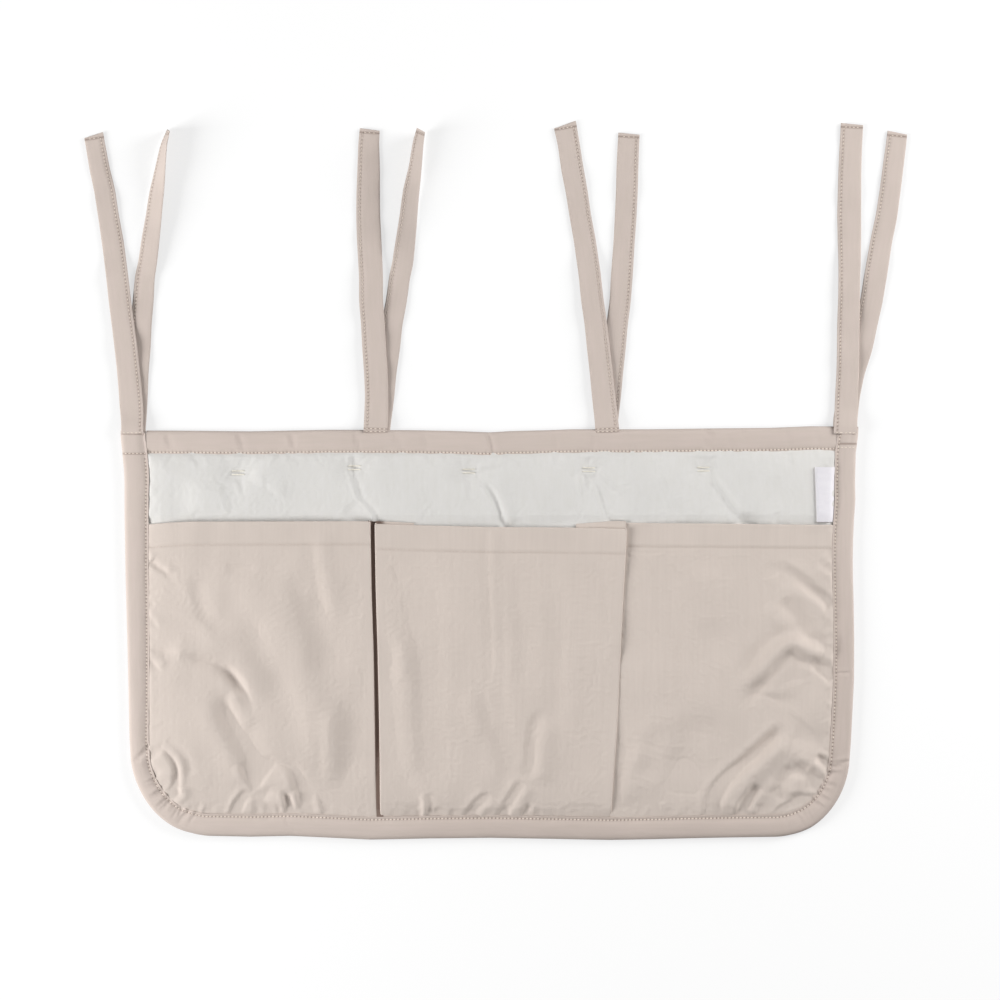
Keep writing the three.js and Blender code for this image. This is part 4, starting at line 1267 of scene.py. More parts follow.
pocketSeams = {}
for side, name, cadNode, folds, mouthTable in (
    (-1, "leftPocket", "pocket_front_left", leftPocketFolds, pocket["leftMouth"]),
    (1, "rightPocket", "pocket_front_right", rightPocketFolds, pocket["rightMouth"]),
):
    edge = flatHalf + panel["cornerRadius"] - pocket["inset"]
    rows = spaced(bottomY + pocket["inset"], pocket["rowsTo"], pocket["step"])
    innerX = 96 if side < 0 else pocket["rightEdgeX"]
    ends = (-edge, -innerX) if side < 0 else (innerX, edge)
    columns = spaced(*ends, pocket["step"])
    x, y = panelPlan(columns, rows, pocket["inset"])
    # The mouth line and the divider line of the washed pocket
    X, Y = settled(x, y)
    toMouth = smooth((y - 40) / 45)
    straightMouth = settled(x, np.full_like(y, pocket["rowsTo"]))[1]
    Y = Y + (between(mouthTable, X) - straightMouth) * toMouth
    if side < 0:
        lean = between(pocket["leftEdge"], Y) - 1.0 + innerX
        X = X + lean * smooth((x + 190) / 94)
    keep = (seamLine[:, 1] < pocket["rowsTo"]) & (seamLine[:, 0] * side > innerX)
    puckers = seamPuckers(*seamPart(keep), 10, 9, 0.62, 21 + side)
    inside = insideTapes(x, y)
    relief = strength["left" if side < 0 else "right"] * foldRelief(X, Y, folds + puckers)
    relief *= smooth((inside + 0.9) / 3.6)
    uneven = 0.6 * unevenness(X, Y, 85, 31 + side)
    uneven += 0.3 * unevenness(X, 0.6 * Y, 34, 36 + side) + 0.1 * unevenness(X, Y, 22, 41 + side)
    relief += uneven * smooth(inside / 25)
    z = sidePocketTop(x, y, side * innerX, pocket["creaseStand"] if side < 0 else 0.0)
    mouth = between(mouthTable, X)
    z = (
        z
        + relief
        + hemGroove(Y, mouth, pocket["hemStitchBelow"]) * smooth(inside / 4)
        + mouthLift(X, Y - mouth) * smooth(inside / 12)
    )
    z = np.maximum(z, liningAt(X, Y, x, y) + pocket["thickness"] + 0.12)
    points, flat = np.dstack([X, Y, z]), np.dstack([x, y])
    if side < 0:  # the inner edge is a standing crease, and the cloth goes down behind it to the seam
        radius = pocket["creaseRadius"]
        foot = np.minimum(liningTop(x, y)[:, -1] + 0.7, points[:, -1, 2] - 0.2)
        wallX, wallY, wallZ = points[:, -1].T
        drop = wallZ - foot
        wall = []  # (shift from the crease, height, cloth that goes there)
        for across, down in ((0.35, 0.06), (0.75, 0.3), (1.0, 1.0)):
            wall.append((across * radius, wallZ - np.minimum(down * radius, drop), radius * 0.6))
        for share in (0.35, 0.7, 1.0):
            wallDrop = np.minimum(radius, drop) + share * np.maximum(drop - radius, 0)
            wall.append((radius + 0.35 * share, wallZ - wallDrop, 1.2))
        for share in (1.5, 3.2, 5.0):
            wall.append((radius + 0.5 + share, foot, 1.6))
        newPoints, newFlat = [points], [flat]
        used = 0
        for across, height, cloth in wall:
            used += cloth
            newPoints.append(np.column_stack([wallX + across, wallY, height])[:, None])
            newFlat.append((flat[:, -1] + np.array([used, 0]))[:, None])
        points, flat = np.concatenate(newPoints, 1), np.concatenate(newFlat, 1)
    seamColumns = slice(4, len(columns) - 2) if side < 0 else slice(2, len(columns) - 4)
    wanted = mouth[:, seamColumns] - pocket["hemStitchBelow"]
    line = []
    for k in range(wanted.shape[1]):
        column = points[:, seamColumns][:, k]
        line.append([np.interp(wanted[-1, k], column[:, 1], column[:, a]) for a in range(3)])
    pocketSeams[name] = np.array(line) + [0, 0, 0.02]
    wallColumns = points.shape[1] - len(columns)
    bodyRows = len(points)
    points, flat = turnedHem(
        points, flat, pocket["hemDepth"], pocket["hemRadius"], sides=(0, wallColumns)
    )
    piece = gridPiece(name, points, flat)
    # Painted shade: a faint dark line along the hem's stitches, and deep shade on the crease's wall down
    # the divider slot
    dark = np.zeros(points.shape[:2])
    overAll = np.append(mouth[-1], np.full(wallColumns, mouth[-1, -1]))
    fromHem = points[:bodyRows, :, 1] - overAll + pocket["hemStitchBelow"]
    dark[:bodyRows] = 0.09 * np.exp(-((fromHem / 0.9) ** 2))
    if wallColumns:
        dark[:, -wallColumns + 2 :] = 0.75
    vertexValues(piece, "paintedShade", dark)
    held = np.ones(points.shape[:2])
    belowHem = mouth - pocket["hemStitchBelow"] - Y
    free = smooth((inside - 0.5) / 4) * smooth(belowHem / 6) * smooth(np.abs(x - side * innerX) / 8)
    held[:bodyRows, : free.shape[1]] = 1 - 0.8 * free
    settleCloth(piece, held)
    thicken(piece, pocket["thickness"])
    dress(piece, pocketCotton)
    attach(piece, "panel")
    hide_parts(cadNode)
print("side pockets ready")

# Centre pocket and its gussets

centre = {
    "leftEdge": [
        (-152, -88.9), (-138, -89.2), (-103, -89.4), (-68, -89.9), (-15, -91.0), (38, -92.6), (91, -93.5)
    ],
    "rightEdge": [
        (-152, 98.9), (-121, 100.7), (-77, 103.9), (-24, 106.4), (11, 108.0), (56, 110.4), (87, 112.0)
    ],
    "mouth": [(-94, 89.2), (-61.5, 88.1), (0.4, 86.6), (57.5, 86.2), (90, 85.7), (112, 85.0)],
    "hemStitchBelow": 19.8,
    "baseY": -158,
    "rowsTo": 88,
    "startX": -92.5,
    "span": 196,
    "stand": 1.1,
    "restEase": 0.4,  # how softly it comes to rest on what is under it
    "opened": 1.7,
    "overlapLift": 1.9,
    "edgeStand": 1.5,
    "leftFoldX": -61.5,
    "rightFoldX": 70.5,
    "edgeRadius": 0.7,
    "hinge": (-150, -135),  # two heights near the pocket's sewn foot
}


def centreTop(X, Y):
    start = smooth((Y + 150.0) / 9.4)
    fromFold = smooth(np.minimum(X - centre["leftFoldX"], centre["rightFoldX"] - X) / 31)
    opened = centre["opened"] * fromFold * quickRise((Y + 150) / 45)
    overlap = centre["overlapLift"] * np.clip((X - 86.5) / 25, 0, 1)
    leftStand = centre["edgeStand"] * smooth((-62 - X) / 32) * smooth((Y + 150) / 50)
    offset = (
        layers["pocketStep"] * (1 - start)
        + start * (0.8 + centre["stand"] + overlap + opened + leftStand)
    )
    return liningTop(X, Y) + 0.6 * tackPull(X, Y) + offset


shares = np.linspace(0, 1, int(centre["span"] / pocket["step"]) + 1)
rowY = spaced(centre["baseY"], centre["rowsTo"], pocket["step"])
u, v = np.meshgrid(shares, rowY)
nominal = centre["startX"] + u * centre["span"]
Y = v - panel["bottomSag"] * 0.9 * np.clip((topY - v) / panel["height"], 0, 1) ** 2
leftX = between(centre["leftEdge"], Y) + centre["edgeRadius"]
rightX = between(centre["rightEdge"], Y) - centre["edgeRadius"]
X = leftX * (1 - u) + rightX * u
Y = Y + (between(centre["mouth"], X) - Y[-1:]) * smooth((v - 30) / 50)
keep = (seamLine[:, 1] < -120) & (np.abs(seamLine[:, 0] - 5) < 90)
puckers = seamPuckers(*seamPart(keep), 9, 9, 0.6, 25)
inside = Y + 150.3
relief = strength["centre"] * foldRelief(X, Y, centrePocketFolds + puckers) * smooth((inside + 1.8) / 3.6)
uneven = 0.55 * unevenness(X, Y, 90, 51)
uneven += 0.25 * unevenness(X, 0.6 * Y, 34, 54) + 0.08 * unevenness(X, Y, 24, 52)
relief += uneven * smooth(inside / 25)
mouth = between(centre["mouth"], X)
z = centreTop(X, Y) + relief + mouthLift(X, Y - mouth) + hemGroove(Y, mouth, centre["hemStitchBelow"])
aboveSeam = smooth((Y + 146) / 10)
lowest = liningAt(X, Y, X, Y) + pocket["thickness"] + 0.12 + 1.5 * aboveSeam
ease = 0.02 + centre["restEase"] * aboveSeam
z = lowest + ease * np.logaddexp(0, (z - lowest) / ease)
points, flat = np.dstack([X, Y, z]), np.dstack([nominal, v])
# Both sides are creases: the cloth turns under them towards the gussets
radius = centre["edgeRadius"]
leftTurns, rightTurns, leftFlat, rightFlat = [], [], [], []
for turn in (0.25, 0.5, 0.75, 1.0):
    s, c = math.sin(turn * math.pi), 1 - math.cos(turn * math.pi)
    leftTurns.insert(0, (points[:, 0] + [-radius * s, 0, -radius * c])[:, None])
    rightTurns.append((points[:, -1] + [radius * s, 0, -radius * c])[:, None])
    leftFlat.insert(0, (flat[:, 0] - [turn * 2.2, 0])[:, None])
    rightFlat.append((flat[:, -1] + [turn * 2.2, 0])[:, None])
for run in (1.2, 2.6):
    leftTurns.insert(0, (points[:, 0] + [run, 0, -2 * radius - 0.03 * run])[:, None])
    rightTurns.append((points[:, -1] + [-run, 0, -2 * radius - 0.03 * run])[:, None])
    leftFlat.insert(0, (flat[:, 0] - [2.2 + run, 0])[:, None])
    rightFlat.append((flat[:, -1] + [2.2 + run, 0])[:, None])
line = []
for k in range(3, points.shape[1] - 3):
    column = points[:, k]
    line.append(
        [np.interp(mouth[-1, k] - centre["hemStitchBelow"], column[:, 1], column[:, a]) for a in range(3)]
    )
pocketSeams["centrePocket"] = np.array(line) + [0, 0, 0.02]
points = np.concatenate(leftTurns + [points] + rightTurns, 1)
flat = np.concatenate(leftFlat + [flat] + rightFlat, 1)
bodyRows = len(points)
turns = len(leftTurns)
points, flat = turnedHem(points, flat, pocket["hemDepth"], pocket["hemRadius"], sides=(turns, turns))
centrePocket = gridPiece("centrePocket", points, flat)
# Painted shade: a faint dark line along the hem's stitches
dark = np.zeros(points.shape[:2])
fromHem = points[:bodyRows, turns:-turns, 1] - mouth[-1] + centre["hemStitchBelow"]
dark[:bodyRows, turns:-turns] = 0.09 * np.exp(-((fromHem / 0.9) ** 2))
vertexValues(centrePocket, "paintedShade", dark)
held = np.ones(points.shape[:2])
belowHem = mouth - centre["hemStitchBelow"] - Y
free = smooth((Y + 148) / 5) * smooth(belowHem / 6) * smooth(np.minimum(u, 1 - u) * 24)
held[:bodyRows, turns:-turns] = 1 - 0.8 * free
settleCloth(centrePocket, held)
thicken(centrePocket, pocket["thickness"])
dress(centrePocket, pocketCotton)
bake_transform(centrePocket)
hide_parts("pocket_front_centre")

gusset = {
    "thickness": 0.5,
    "step": 2.2,
    "rows": (-143, 90),
    "columns": 16,
    "reach": 31,
    "leftSeamX": -92.2,
    "rightSeamX": 98.4,
    "bendTo": (-92, 105),  # where the front leaves go wholly with the centre pocket
    "leftMouth": [(-94, 92.1), (-61, 90.6)],
    "rightMouth": [(69, 89.6), (99, 92.0), (113, 92.0)],
}
for name, turnSide in (("left", -1), ("right", 1)):
    foldX, edgeTable = centre[name + "FoldX"], centre[name + "Edge"]
    rowY = spaced(*gusset["rows"], gusset["step"])
    u, v = np.meshgrid(np.linspace(0, 1, gusset["columns"]), rowY)
    edgeX = between(edgeTable, v)
    seamX = np.full_like(v, gusset[name + "SeamX"])
    for leaf in ("Back", "Front"):
        outer = seamX if leaf == "Back" else edgeX - turnSide * 0.8
        X = foldX + (outer - foldX) * u
        nominalMouth = between(gusset[name + "Mouth"], X)
        Y = v + (nominalMouth - gusset["rows"][1]) * smooth((v - 40) / 50)
        floorZ = liningTop(X, Y) + 0.6 * tackPull(X, Y)
        if leaf == "Back":
            z = floorZ + 0.75 + 0.25 * (1 - u)
        else:
            ceiling = centreTop(edgeX, Y) - 2 * centre["edgeRadius"] - 0.25
            low = floorZ + 1.55
            z = low + (np.maximum(ceiling, low + 0.1) - low) * u
            z = np.minimum(z, centreTop(X, Y) - 0.9)
        z = z + 0.12 * unevenness(X, Y, 26, 61 + turnSide)
        points = np.dstack([X, Y, z])
        if turnSide < 0:
            points = points[:, ::-1]
        flat = np.dstack([u * gusset["reach"], v])
        piece = gridPiece(f"{name}Gusset{leaf}", points, flat)
        # Painted shade on the left gusset near its outer edge, deep down in the divider slot
        fromOuter = np.abs(points[..., 0] - outer[:, ::-1] if turnSide < 0 else points[..., 0] - outer)
        vertexValues(piece, "paintedShade", 0.8 * (1 - smooth((fromOuter - 4) / 5)) * (turnSide < 0))
        thicken(piece, gusset["thickness"])
        dress(piece, pocketCotton)
        if leaf == "Back":
            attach(piece, "panel")
            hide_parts("gusset_" + name)
        else:
            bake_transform(piece)
print("centre pocket and gussets ready")

# Bindings

# Section of a tape from its lip at the back, round the panel's edge, to its lip in front, and back
# along the inner face: (share of the width, place from there, height)
sideSection = [
    (1, 0, 0.15), (1, -1.2, 0.02), (1, -2.3, 0.2), (1, -3.6, 0.02), (0.5, 0, 0), (0, 3, 0),
    (0, 1.2, 0.25), (0, 0.35, 1.0), (0, 0, 2.2), (0, 0.1, 3.4), (0, 0.6, 4.5), (0, 1.6, 5.35),
    (0, 3.1, 5.95), (0, 5.2, 6.35), (0.5, 0, 6.6), (1, -6.6, 6.45), (1, -5.0, 6.1), (1, -3.5, 5.65),
    (1, -2.3, 5.2), (1, -1.5, 5.4), (1, -0.7, 5.7), (1, -0.15, 5.75), (1, 0, 5.5), (1, -0.2, 5.2),
    (1, -2.3, 4.5), (0.5, 0, 5.5), (0, 3.6, 5.1), (0, 1.3, 3.5), (0, 0.9, 2.2), (0, 1.3, 0.9),
    (0.5, 0, 0.75), (1, 0, 0.8),
]
topSection = [
    (1, 0, 0.15), (1, -1.2, 0.02), (1, -2.3, 0.2), (1, -3.6, 0.02), (0.5, 0, 0), (0, 3, 0),
    (0, 1.2, 0.2), (0, 0.35, 0.9), (0, 0, 2.0), (0, 0.12, 3.1), (0, 0.6, 4.1), (0, 1.6, 4.8),
    (0, 3.2, 5.2), (0, 5.5, 5.45), (0.5, 0, 5.5), (1, -6, 5.25), (1, -4.2, 4.9), (1, -2.9, 4.5),
    (1, -1.9, 4.1), (1, -1.2, 4.25), (1, -0.6, 4.2), (1, -0.15, 4.0), (1, 0, 3.8), (1, -0.2, 3.5),
    (1, -2.0, 3.45), (0.5, 0, 4.5), (0, 3.6, 4.3), (0, 1.3, 3.0), (0, 0.9, 2.0), (0, 1.3, 0.9),
    (0.5, 0, 0.75), (1, 0, 0.8),
]

# Columns of both sections
sectionColumn = {"backLip": 2, "faceFrom": 11, "face": 14, "lip": 18, "faceTo": 21}


# Places of a section at each station: distance from the edge and height
def sectionPlaces(section, widths):
    share, place, height = np.array(section).T
    return widths[:, None] * share + place, np.broadcast_to(height, (len(widths), len(section)))


# Gathers where the tape goes round a corner: creases across it, deepest at its stitched lip
def cornerGathers(side, angles, depth, seed):
    random = np.random.default_rng(seed)
    folds = []
    for angle in angles:
        turn = math.radians(angle + random.uniform(-1.5, 1.5))
        lean = random.uniform(-0.06, 0.06)
        ends = []
        for radius, swing in (
            (46.0, 0), (54, lean), (panel["cornerRadius"] - random.uniform(1, 5), 1.6 * lean)
        ):
            x = side * (flatHalf + radius * math.cos(turn + swing))
            y = cornerY - radius * math.sin(turn + swing)
            ends.append(tuple(float(v) for v in settled(np.array(x), np.array(y))))
        amount = -depth * random.uniform(0.6, 1.2)
        folds.append((amount, random.uniform(1.5, 2.1), random.uniform(-0.3, 0.3), 0, 0.6, ends))
    return folds


gathers = cornerGathers(-1, [21, 26, 31, 35.5, 40, 44.5, 49, 54, 59, 66, 74], 1.25, 71)
gathers += cornerGathers(1, [5, 14, 22, 29, 36, 43, 50, 57, 65, 73], 0.95, 72)
gathers += [
    (-1.4, 1.8, -0.3, 0.2, 0, [(-290.5, -103.5), (-285, -98), (-279, -90.5)]),
    (0.8, 2.6, 0, 0.2, 0.1, [(-288.5, -106), (-282, -99.5), (-278, -94)]),
    (-0.7, 1.6, 0, 0.1, 0.3, [(-168.3, -151.6), (-163, -157), (-156.9, -163.8)]),
    (-1.6, 1.6, 0.3, 0, 0.2, [(281.5, -108.2), (287, -105), (293.6, -101.9)]),
    (-0.7, 1.2, 0, 0, 0.2, [(283.5, -31.2), (294.6, -30.8)]),
]
tapePath = outlinePath(tape["station"])
widths = sideTapeWidth(tapePath)
u, z = sectionPlaces(sideSection, widths)
stations = np.concatenate([[0], np.cumsum(np.hypot(*np.diff(tapePath[:, :2], axis=0).T))])
fallOffShade = 0.07  # painted shade: the bottom and right tapes are a little darker, as the light falls off there
knots = np.arange(0, stations[-1] + 25, 23)
uneven = 0.25 * np.interp(stations, knots, np.random.default_rng(81).uniform(-1, 1, len(knots)))
x = tapePath[:, :1] + tapePath[:, 2:3] * u
y = tapePath[:, 1:2] + tapePath[:, 3:4] * u
X, Y = settled(x, y)
front = smooth((z - 3) / 2)
lipPuckers = seamPuckers(seamLine - tape["stitchFromLip"] * seamInwards, -seamInwards, 6, 4, 0.22, 82)
relief = strength["gathers"] * foldRelief(X, Y, gathers + lipPuckers) * front
z = z + relief + front * uneven[:, None] * smooth(u / 6)
offLine = u - (widths[:, None] - tape["stitchFromLip"])
# Two short lines across the tape where a corner tie is sewn on
crossDark = np.zeros_like(y)
for side, atY in tape["crossLines"]:
    near = np.exp(-(((y - atY) / 0.7) ** 2)) * (x * side > 0) * front
    crossDark = np.maximum(crossDark, near)
z = z - 0.3 * crossDark
points = np.dstack([X, Y, z])
sideTapePoints = points
# Painted shade, growing towards the bottom and the right
bottomRightShade = fallOffShade * smooth((x + 150) / 150) * smooth((80 - y) / 100)
leftStart = int(np.argmax(points[:, sectionColumn["lip"], 1] < tape["stitchedFrom"]))
paintedShadeMarks = np.zeros_like(offLine)
paintedShadeMarks[leftStart:] = stitchShadeValues(points[leftStart:, sectionColumn["lip"]], offLine[leftStart:])
# Painted shade of the needle holes and stitch grooves along the lip and across the cross lines, with the
# darker bottom and right
tapeShade = bottomRightShade + np.maximum(paintedShadeMarks * front, 0.55 * crossDark * (u < widths[:, None] - 1))
sectionRun = np.concatenate([[0], np.cumsum(np.hypot(np.diff(u[0]), np.diff(z[0])))])
flat = np.dstack(np.broadcast_arrays(sectionRun[None, :], stations[:, None]))
points = np.concatenate([points, points[:, :1]], 1)
flat = np.concatenate([flat, flat[:, -1:] + [1, 0]], 1)
sideBinding = gridPiece("sideBinding", points, flat, closed=True)


# Painted-shade values of a tape whose ends have been joined: each vertex takes that of the nearest grid
# point
def setPaintedShade(piece, grid, values):
    co = np.empty(len(piece.data.vertices) * 3, np.float32)
    piece.data.vertices.foreach_get("co", co)
    tree = KDTree(values.size)
    for k, place in enumerate((grid * mm).reshape(-1, 3)):
        tree.insert(place, k)
    tree.balance()
    flatValues = values.ravel()
    vertexValues(piece, "paintedShade", [flatValues[tree.find(p)[1]] for p in co.reshape(-1, 3)])


setPaintedShade(sideBinding, sideTapePoints, tapeShade)
dress(sideBinding, tapeCotton)
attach(sideBinding, "panel")
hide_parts("edge_binding")

topMiddle = 157.0  # the middle of the top tape
endGap = 0.35  # between its ends and the side tapes
sideAtTop = halfWidth(np.array(topMiddle))
tapeX = spaced(
    -(sideAtTop - leftTapeWidth(topMiddle) - endGap),
    sideAtTop - tape["rightWidth"] - endGap,
    tape["station"],
)
widths = np.full_like(tapeX, tape["topWidth"])
u, z = sectionPlaces(topSection, widths)
x = np.broadcast_to(tapeX[:, None], u.shape)
y = topY - u
X, Y = settled(x, y)
front = smooth((z - 2.4) / 1.6)
lipPuckers = seamPuckers(topSeam + [0, tape["topStitchFromLip"]], -topInwards, 6, 4, 0.2, 83)
relief = strength["topTape"] * foldRelief(X, Y, topTapeFolds + lipPuckers) * front
relief += 0.28 * unevenness(X, Y, 26, 84) * front
offLine = u - (widths[:, None] - tape["topStitchFromLip"])
points = np.dstack([X, Y, z + relief])
topTapePoints = points
# Painted shade of the needle holes and the groove along the lip's stitches
tapeShade = stitchShadeValues(points[:, sectionColumn["lip"]], offLine) * front
sectionRun = np.concatenate([[0], np.cumsum(np.hypot(np.diff(u[0]), np.diff(z[0])))])
flat = np.dstack(np.broadcast_arrays(sectionRun[None, :], tapeX[:, None]))
points = np.concatenate([points, points[:, :1]], 1)
flat = np.concatenate([flat, flat[:, -1:] + [1, 0]], 1)
topBinding = gridPiece("topBinding", points, flat, closed=True)
setPaintedShade(topBinding, topTapePoints, tapeShade)
dress(topBinding, tapeCotton)
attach(topBinding, "panel")
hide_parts("top_binding")
print("bindings ready")


# A short stitched line straight across the side tape near its top end
def crossLine(side, atY):
    half = len(sideTapePoints) // 2
    rows = sideTapePoints[:half] if side < 0 else sideTapePoints[half:]
    row = np.abs(rows[:, sectionColumn["face"], 1] - atY).argmin()
    return rows[row, sectionColumn["faceFrom"] : sectionColumn["faceTo"]]


up, down = np.array([0.0, 0, 1]), np.array([0.0, 0, -1])
bindingRuns = [
    stitchesAlong(sideTapePoints[leftStart:, sectionColumn["lip"]], up, 91),
    stitchesAlong(topTapePoints[:, sectionColumn["lip"]], up, 92),
    stitchesAlong(sideTapePoints[:, sectionColumn["backLip"]] - [0, 0, 0.1], down, 93),
    stitchesAlong(topTapePoints[:, sectionColumn["backLip"]] - [0, 0, 0.1], down, 94),
]
for side, atY in tape["crossLines"]:
    bindingRuns.append(stitchesAlong(crossLine(side, atY), up, 95))
bindingThread = threadPiece("bindingThread", bindingRuns, creamThread)
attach(bindingThread, "panel")

hemRuns = []
for k, name in enumerate(("leftPocket", "rightPocket")):
    hemRuns.append(stitchesAlong(pocketSeams[name], up, 96 + k, scale=0.7))
hemThread = threadPiece("sideHemThread", hemRuns, beigeThread)
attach(hemThread, "panel")
centreHemRun = stitchesAlong(pocketSeams["centrePocket"], up, 98, scale=0.7)
centreHemThread = threadPiece("centreHemThread", [centreHemRun], beigeThread)
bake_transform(centreHemThread)

# Quilting tacks: two bars of close stitches each, in front and behind
for k, (tackX, tackY) in enumerate(tacks["places"]):
    runs = []
    for side in (-1, 1):
        bar = np.linspace(-tacks["barLength"] / 2, tacks["barLength"] / 2, 40)
        y = np.full_like(bar, tackY + side * tacks["barGap"] / 2)
        z = liningAt(tackX + bar, y, tackX + bar, y) + 0.1
        inFront = np.column_stack([tackX + bar, y, z])
        runs.append(stitchesAlong(inFront + [0, 0, 0.25], up, 100 + k, pitch=0.9, scale=1.2))
        behind = np.column_stack([tackX + bar, y, np.full_like(bar, tacks["back"])])
        runs.append(stitchesAlong(behind, down, 120 + k, pitch=1.4, scale=0.9))
    piece = threadPiece(f"quiltingTack{k + 1}", runs, ivoryThread)
    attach(piece, "panel")
    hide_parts(f"quilting_tack_{k + 1}")
print("stitches and tacks ready")

# Label

label = {
    "outer": [(91.4, 278.2), (136.0, 279.6)],  # where it leaves the binding
    "fold": [(91.4, 267.3), (136.0, 265.6)],
    "rows": (91.4, 136.0),
    "step": 1.5,
    "thickness": 0.35,
    "tuck": 2.5,
    "stand": 0.35,
    "overPocket": 5.0,
    "pocketBelow": 93,
    "foldAt": 10,  # column of the loop that lies in its fold
    "caughtAt": (4.35, 3.95),  # heights of the upper and the under leaf inside the binding
    "bend": (280.4, 277),
}
loop = np.concatenate([np.linspace(0, 1, 10), [1.02, 1.0], np.linspace(0.9, 0, 9)])
rowY = spaced(*label["rows"], label["step"])
points = np.zeros((len(rowY), len(loop), 3))
flat = np.zeros((len(rowY), len(loop), 2))
for j, y in enumerate(rowY):
    outerX = between(label["outer"], y) + label["tuck"]
    foldX = between(label["fold"], y)
    for k, share in enumerate(loop):
        X = outerX + (foldX - outerX) * share
        base = float(liningTop(np.array(X), np.array(y))) + label["stand"]
        if share > 0.25:
            base = max(base, label["overPocket"] if y < label["pocketBelow"] else 0)
        if k < label["foldAt"]:
            z = base + 0.55 + 0.9 * math.sin(math.pi * min(share, 1) * 0.8) * smooth(share * 3)
        elif k == label["foldAt"]:
            z = base + 0.75
        else:
            z = base
        out = smooth(share * 4 + 0.3)
        z = z * out + (1 - out) * label["caughtAt"][0 if k < label["foldAt"] else 1]
        points[j, k] = (X, y, z)
        flat[j, k] = (k * 1.4, y)
careLabel = gridPiece("labelLoop", points, flat)
thicken(careLabel, label["thickness"])
dress(careLabel, labelTape)
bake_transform(careLabel)
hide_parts("care_label")
print("label ready")

# Ties

tie = {
    "thickness": 1.3,
    "station": 0.75,
    "slope": 18,
    "split": 122,
    "settle": 34,
    "stitchFromEdge": 2.8,
    "ripple": 0.45,
    "hinge": (166, 176),
    "startY": {"cornerFront": 163.2, "innerFront": 164.3, "cornerRear": 160, "innerRear": 160},
    "seat": {"cornerFront": 6.6, "innerFront": 5.0, "cornerRear": 3.1, "innerRear": 2.6},
    "baseLines": {"corner": (163.9,), "inner": (164.9, 167.3)},  # stitched across a front tie's foot
    "root": (164.5, 168.2),  # a front tie's sewn end is a piece of its own up to the second of these
}
